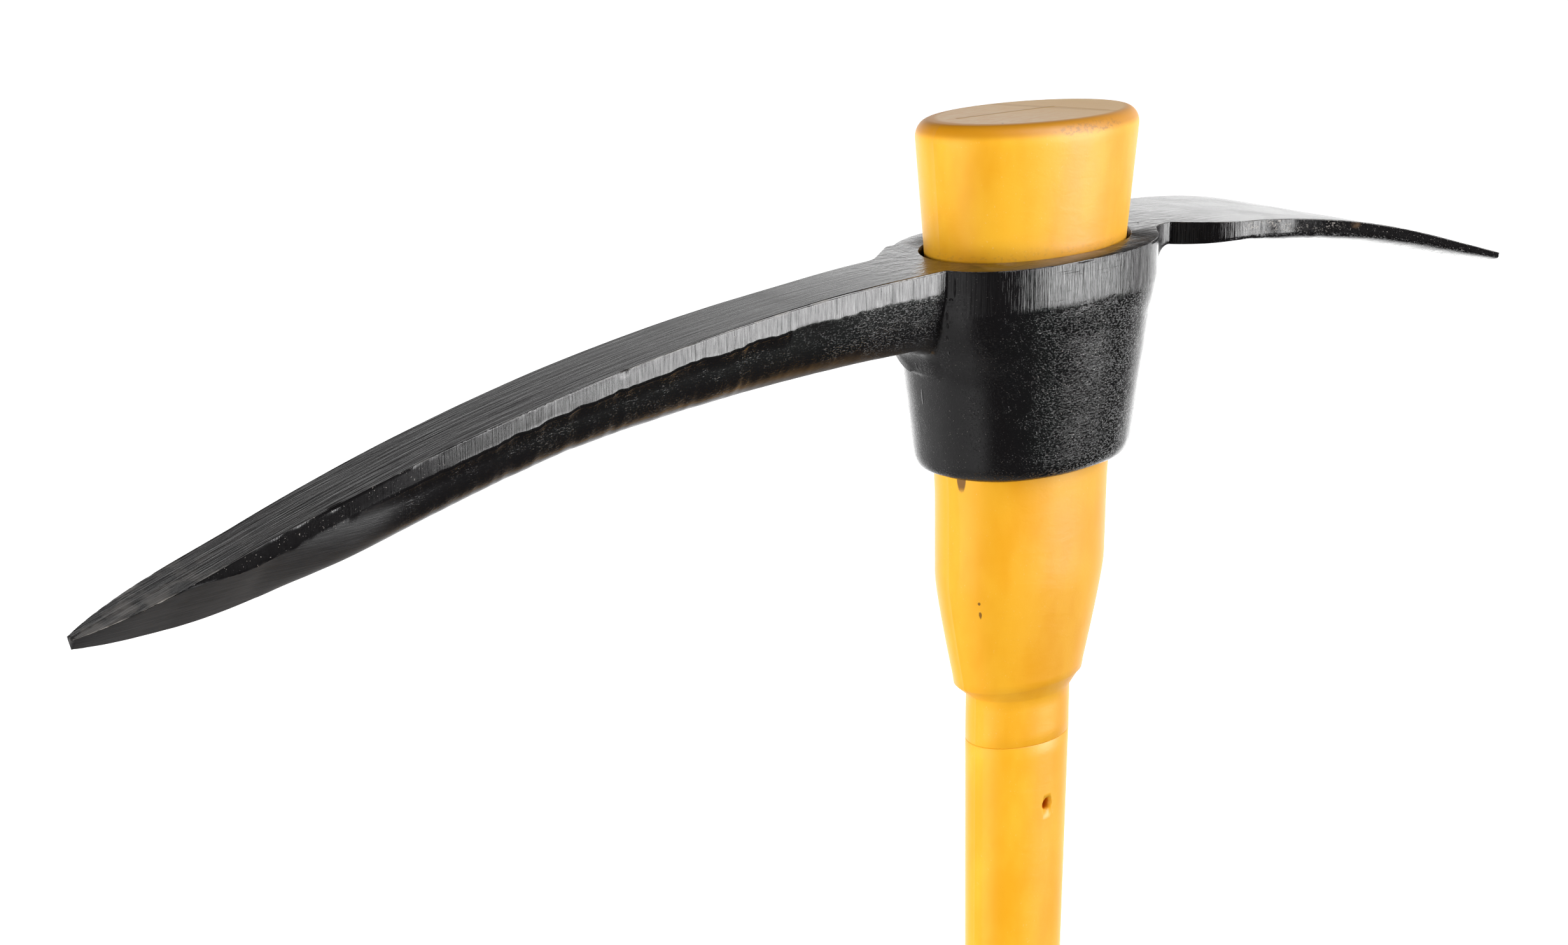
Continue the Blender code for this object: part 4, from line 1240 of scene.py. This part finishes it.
# %% Glass rod
resin = Finish("amber_rod", Roughness=0.45)
resin_place = resin.place()
fibres = resin.noise(resin_place, (0.3, 0.3, 30), 3.0, 0.6)
resin.feed(Base_Color=resin.colours(fibres, (0.42, 0.15, 0.02), (0.62, 0.27, 0.05)),
           Roughness=0.35 + 0.2 * fibres, Normal=resin.bump(fibres, 0.05 * MM))
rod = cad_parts["fibreglass_core"]
rod.data.materials.clear()
rod.data.materials.append(resin.material)

# %% [markdown]
# Black enamel shows nothing but reflections, so the studio matters as much as the paint. The photograph's
# reflections were read backwards: one tall soft box stands to the right of the camera, from the height of
# the butt upwards, a bright backdrop curves round the back and the left, and the ceiling and the place of
# the camera are dark. The backdrop is a soft gradient in the world; the soft box and a card are lamps.

# %% Tall soft box
SOFT_BOX_AZIMUTH = math.radians(39.5)
SOFT_BOX_DISTANCE = 3.0
SOFT_BOX_WIDTH = 1.25
SOFT_BOX_FOOT = math.radians(-15.6)
SOFT_BOX_TOP = math.radians(52)
SOFT_BOX_RADIANCE = 10.8


def lamp(name, way, distance, middle_z, width, height, radiance):
    """A flat lamp that faces the tool; its power follows from how bright its face looks."""
    light = bpy.data.lights.new(name, "AREA")
    light.shape = "RECTANGLE"
    light.size = width
    light.size_y = height
    light.energy = math.pi * radiance * light.size * light.size_y
    made = bpy.data.objects.new(name, light)
    made.rotation_euler = (-way).to_track_quat("-Z", "Y").to_euler()
    made.location = way * distance + Vector((0, 0, middle_z))
    scene.collection.objects.link(made)
    print(name, round(light.size_y, 2), "m tall,", round(light.energy), "W")
    return made


foot_z = SOFT_BOX_DISTANCE * math.tan(SOFT_BOX_FOOT)
top_z = SOFT_BOX_DISTANCE * math.tan(SOFT_BOX_TOP)
lamp("tall_soft_box", way_to(SOFT_BOX_AZIMUTH), SOFT_BOX_DISTANCE, HEAD_TOP_Z + (foot_z + top_z) / 2,
     SOFT_BOX_WIDTH, top_z - foot_z, SOFT_BOX_RADIANCE)

# %% White card on the left
# It is there for the yellow plastic. Its reflection in the enamel is already part of the backdrop.
CARD_AZIMUTH = math.radians(-85)
CARD_ELEVATION = math.radians(-3)
CARD_DISTANCE = 3.0
CARD_SIZE = 2.4
CARD_RADIANCE = 7.1

card = lamp("white_card", way_to(CARD_AZIMUTH, CARD_ELEVATION), CARD_DISTANCE, HEAD_TOP_Z, CARD_SIZE,
            CARD_SIZE, CARD_RADIANCE)
card.visible_glossy = False

# %% Bright backdrop, dark ceiling
BACKDROP_AZIMUTH = math.radians(197)
BACKDROP = 2.45
LEFT_AZIMUTH = math.radians(-100)
UNDER_GLOW = 0.25

world = bpy.data.worlds.new("studio")
scene.world = world
world.use_nodes = True
studio = Graph(world.node_tree)
towards = studio.node("ShaderNodeTexCoord", output="Generated")
height = studio.axis(towards, "Z")
facing = studio.vectors("DOT_PRODUCT", towards, way_to(BACKDROP_AZIMUTH), "Value")
facing = facing / ((1 - height * height).at_least(0.001) ** 0.5)
glow = facing.rise(-0.6, 0.05) * (1 - 0.15 * facing.rise(0.75, 1.0)) * height.rise(0.70, -0.27)
to_the_left = studio.vectors("DOT_PRODUCT", towards, way_to(LEFT_AZIMUTH), "Value")
glow = glow * (0.12 + 0.88 * height.rise(-0.95, -0.25)) * (1 - 0.5 * to_the_left.rise(-0.1, 0.4))
glow = glow * (1 - 0.6 * to_the_left.rise(0.45, 0.98))
brightness = BACKDROP * glow + UNDER_GLOW * height.rise(-0.78, -0.96)
studio.tree.links.new(brightness.socket, world.node_tree.nodes["Background"].inputs["Strength"])
world.node_tree.nodes["Background"].inputs["Color"].default_value = (1, 1, 1, 1)

# %% Floor
# The camera sees it evenly white, as over-lit paper. It is left out of reflections, where the gradient
# of the world already stands for it, and blocks no lamp. It lies below the butt, so that the head shows
# when it is slid off.
FLOOR_Z = -0.25
FLOOR_RADIUS = 30.0
PAPER = (0.85, 0.85, 0.85, 1.0)
floor_shape = bmesh.new()
bmesh.ops.create_circle(floor_shape, cap_ends=True, segments=64, radius=FLOOR_RADIUS)
bmesh.ops.translate(floor_shape, verts=floor_shape.verts[:], vec=(0, 0, FLOOR_Z))
floor = as_object("studio_floor", floor_shape)
paper = Finish("pale_paper", Base_Color=PAPER, Roughness=0.9, Emission_Strength=1.1,
               Emission_Color=(1, 1, 1, 1))
floor.data.materials.append(paper.material)
floor.visible_glossy = False
floor.visible_diffuse = False
floor.visible_shadow = False
scene.view_settings.view_transform = "Standard"
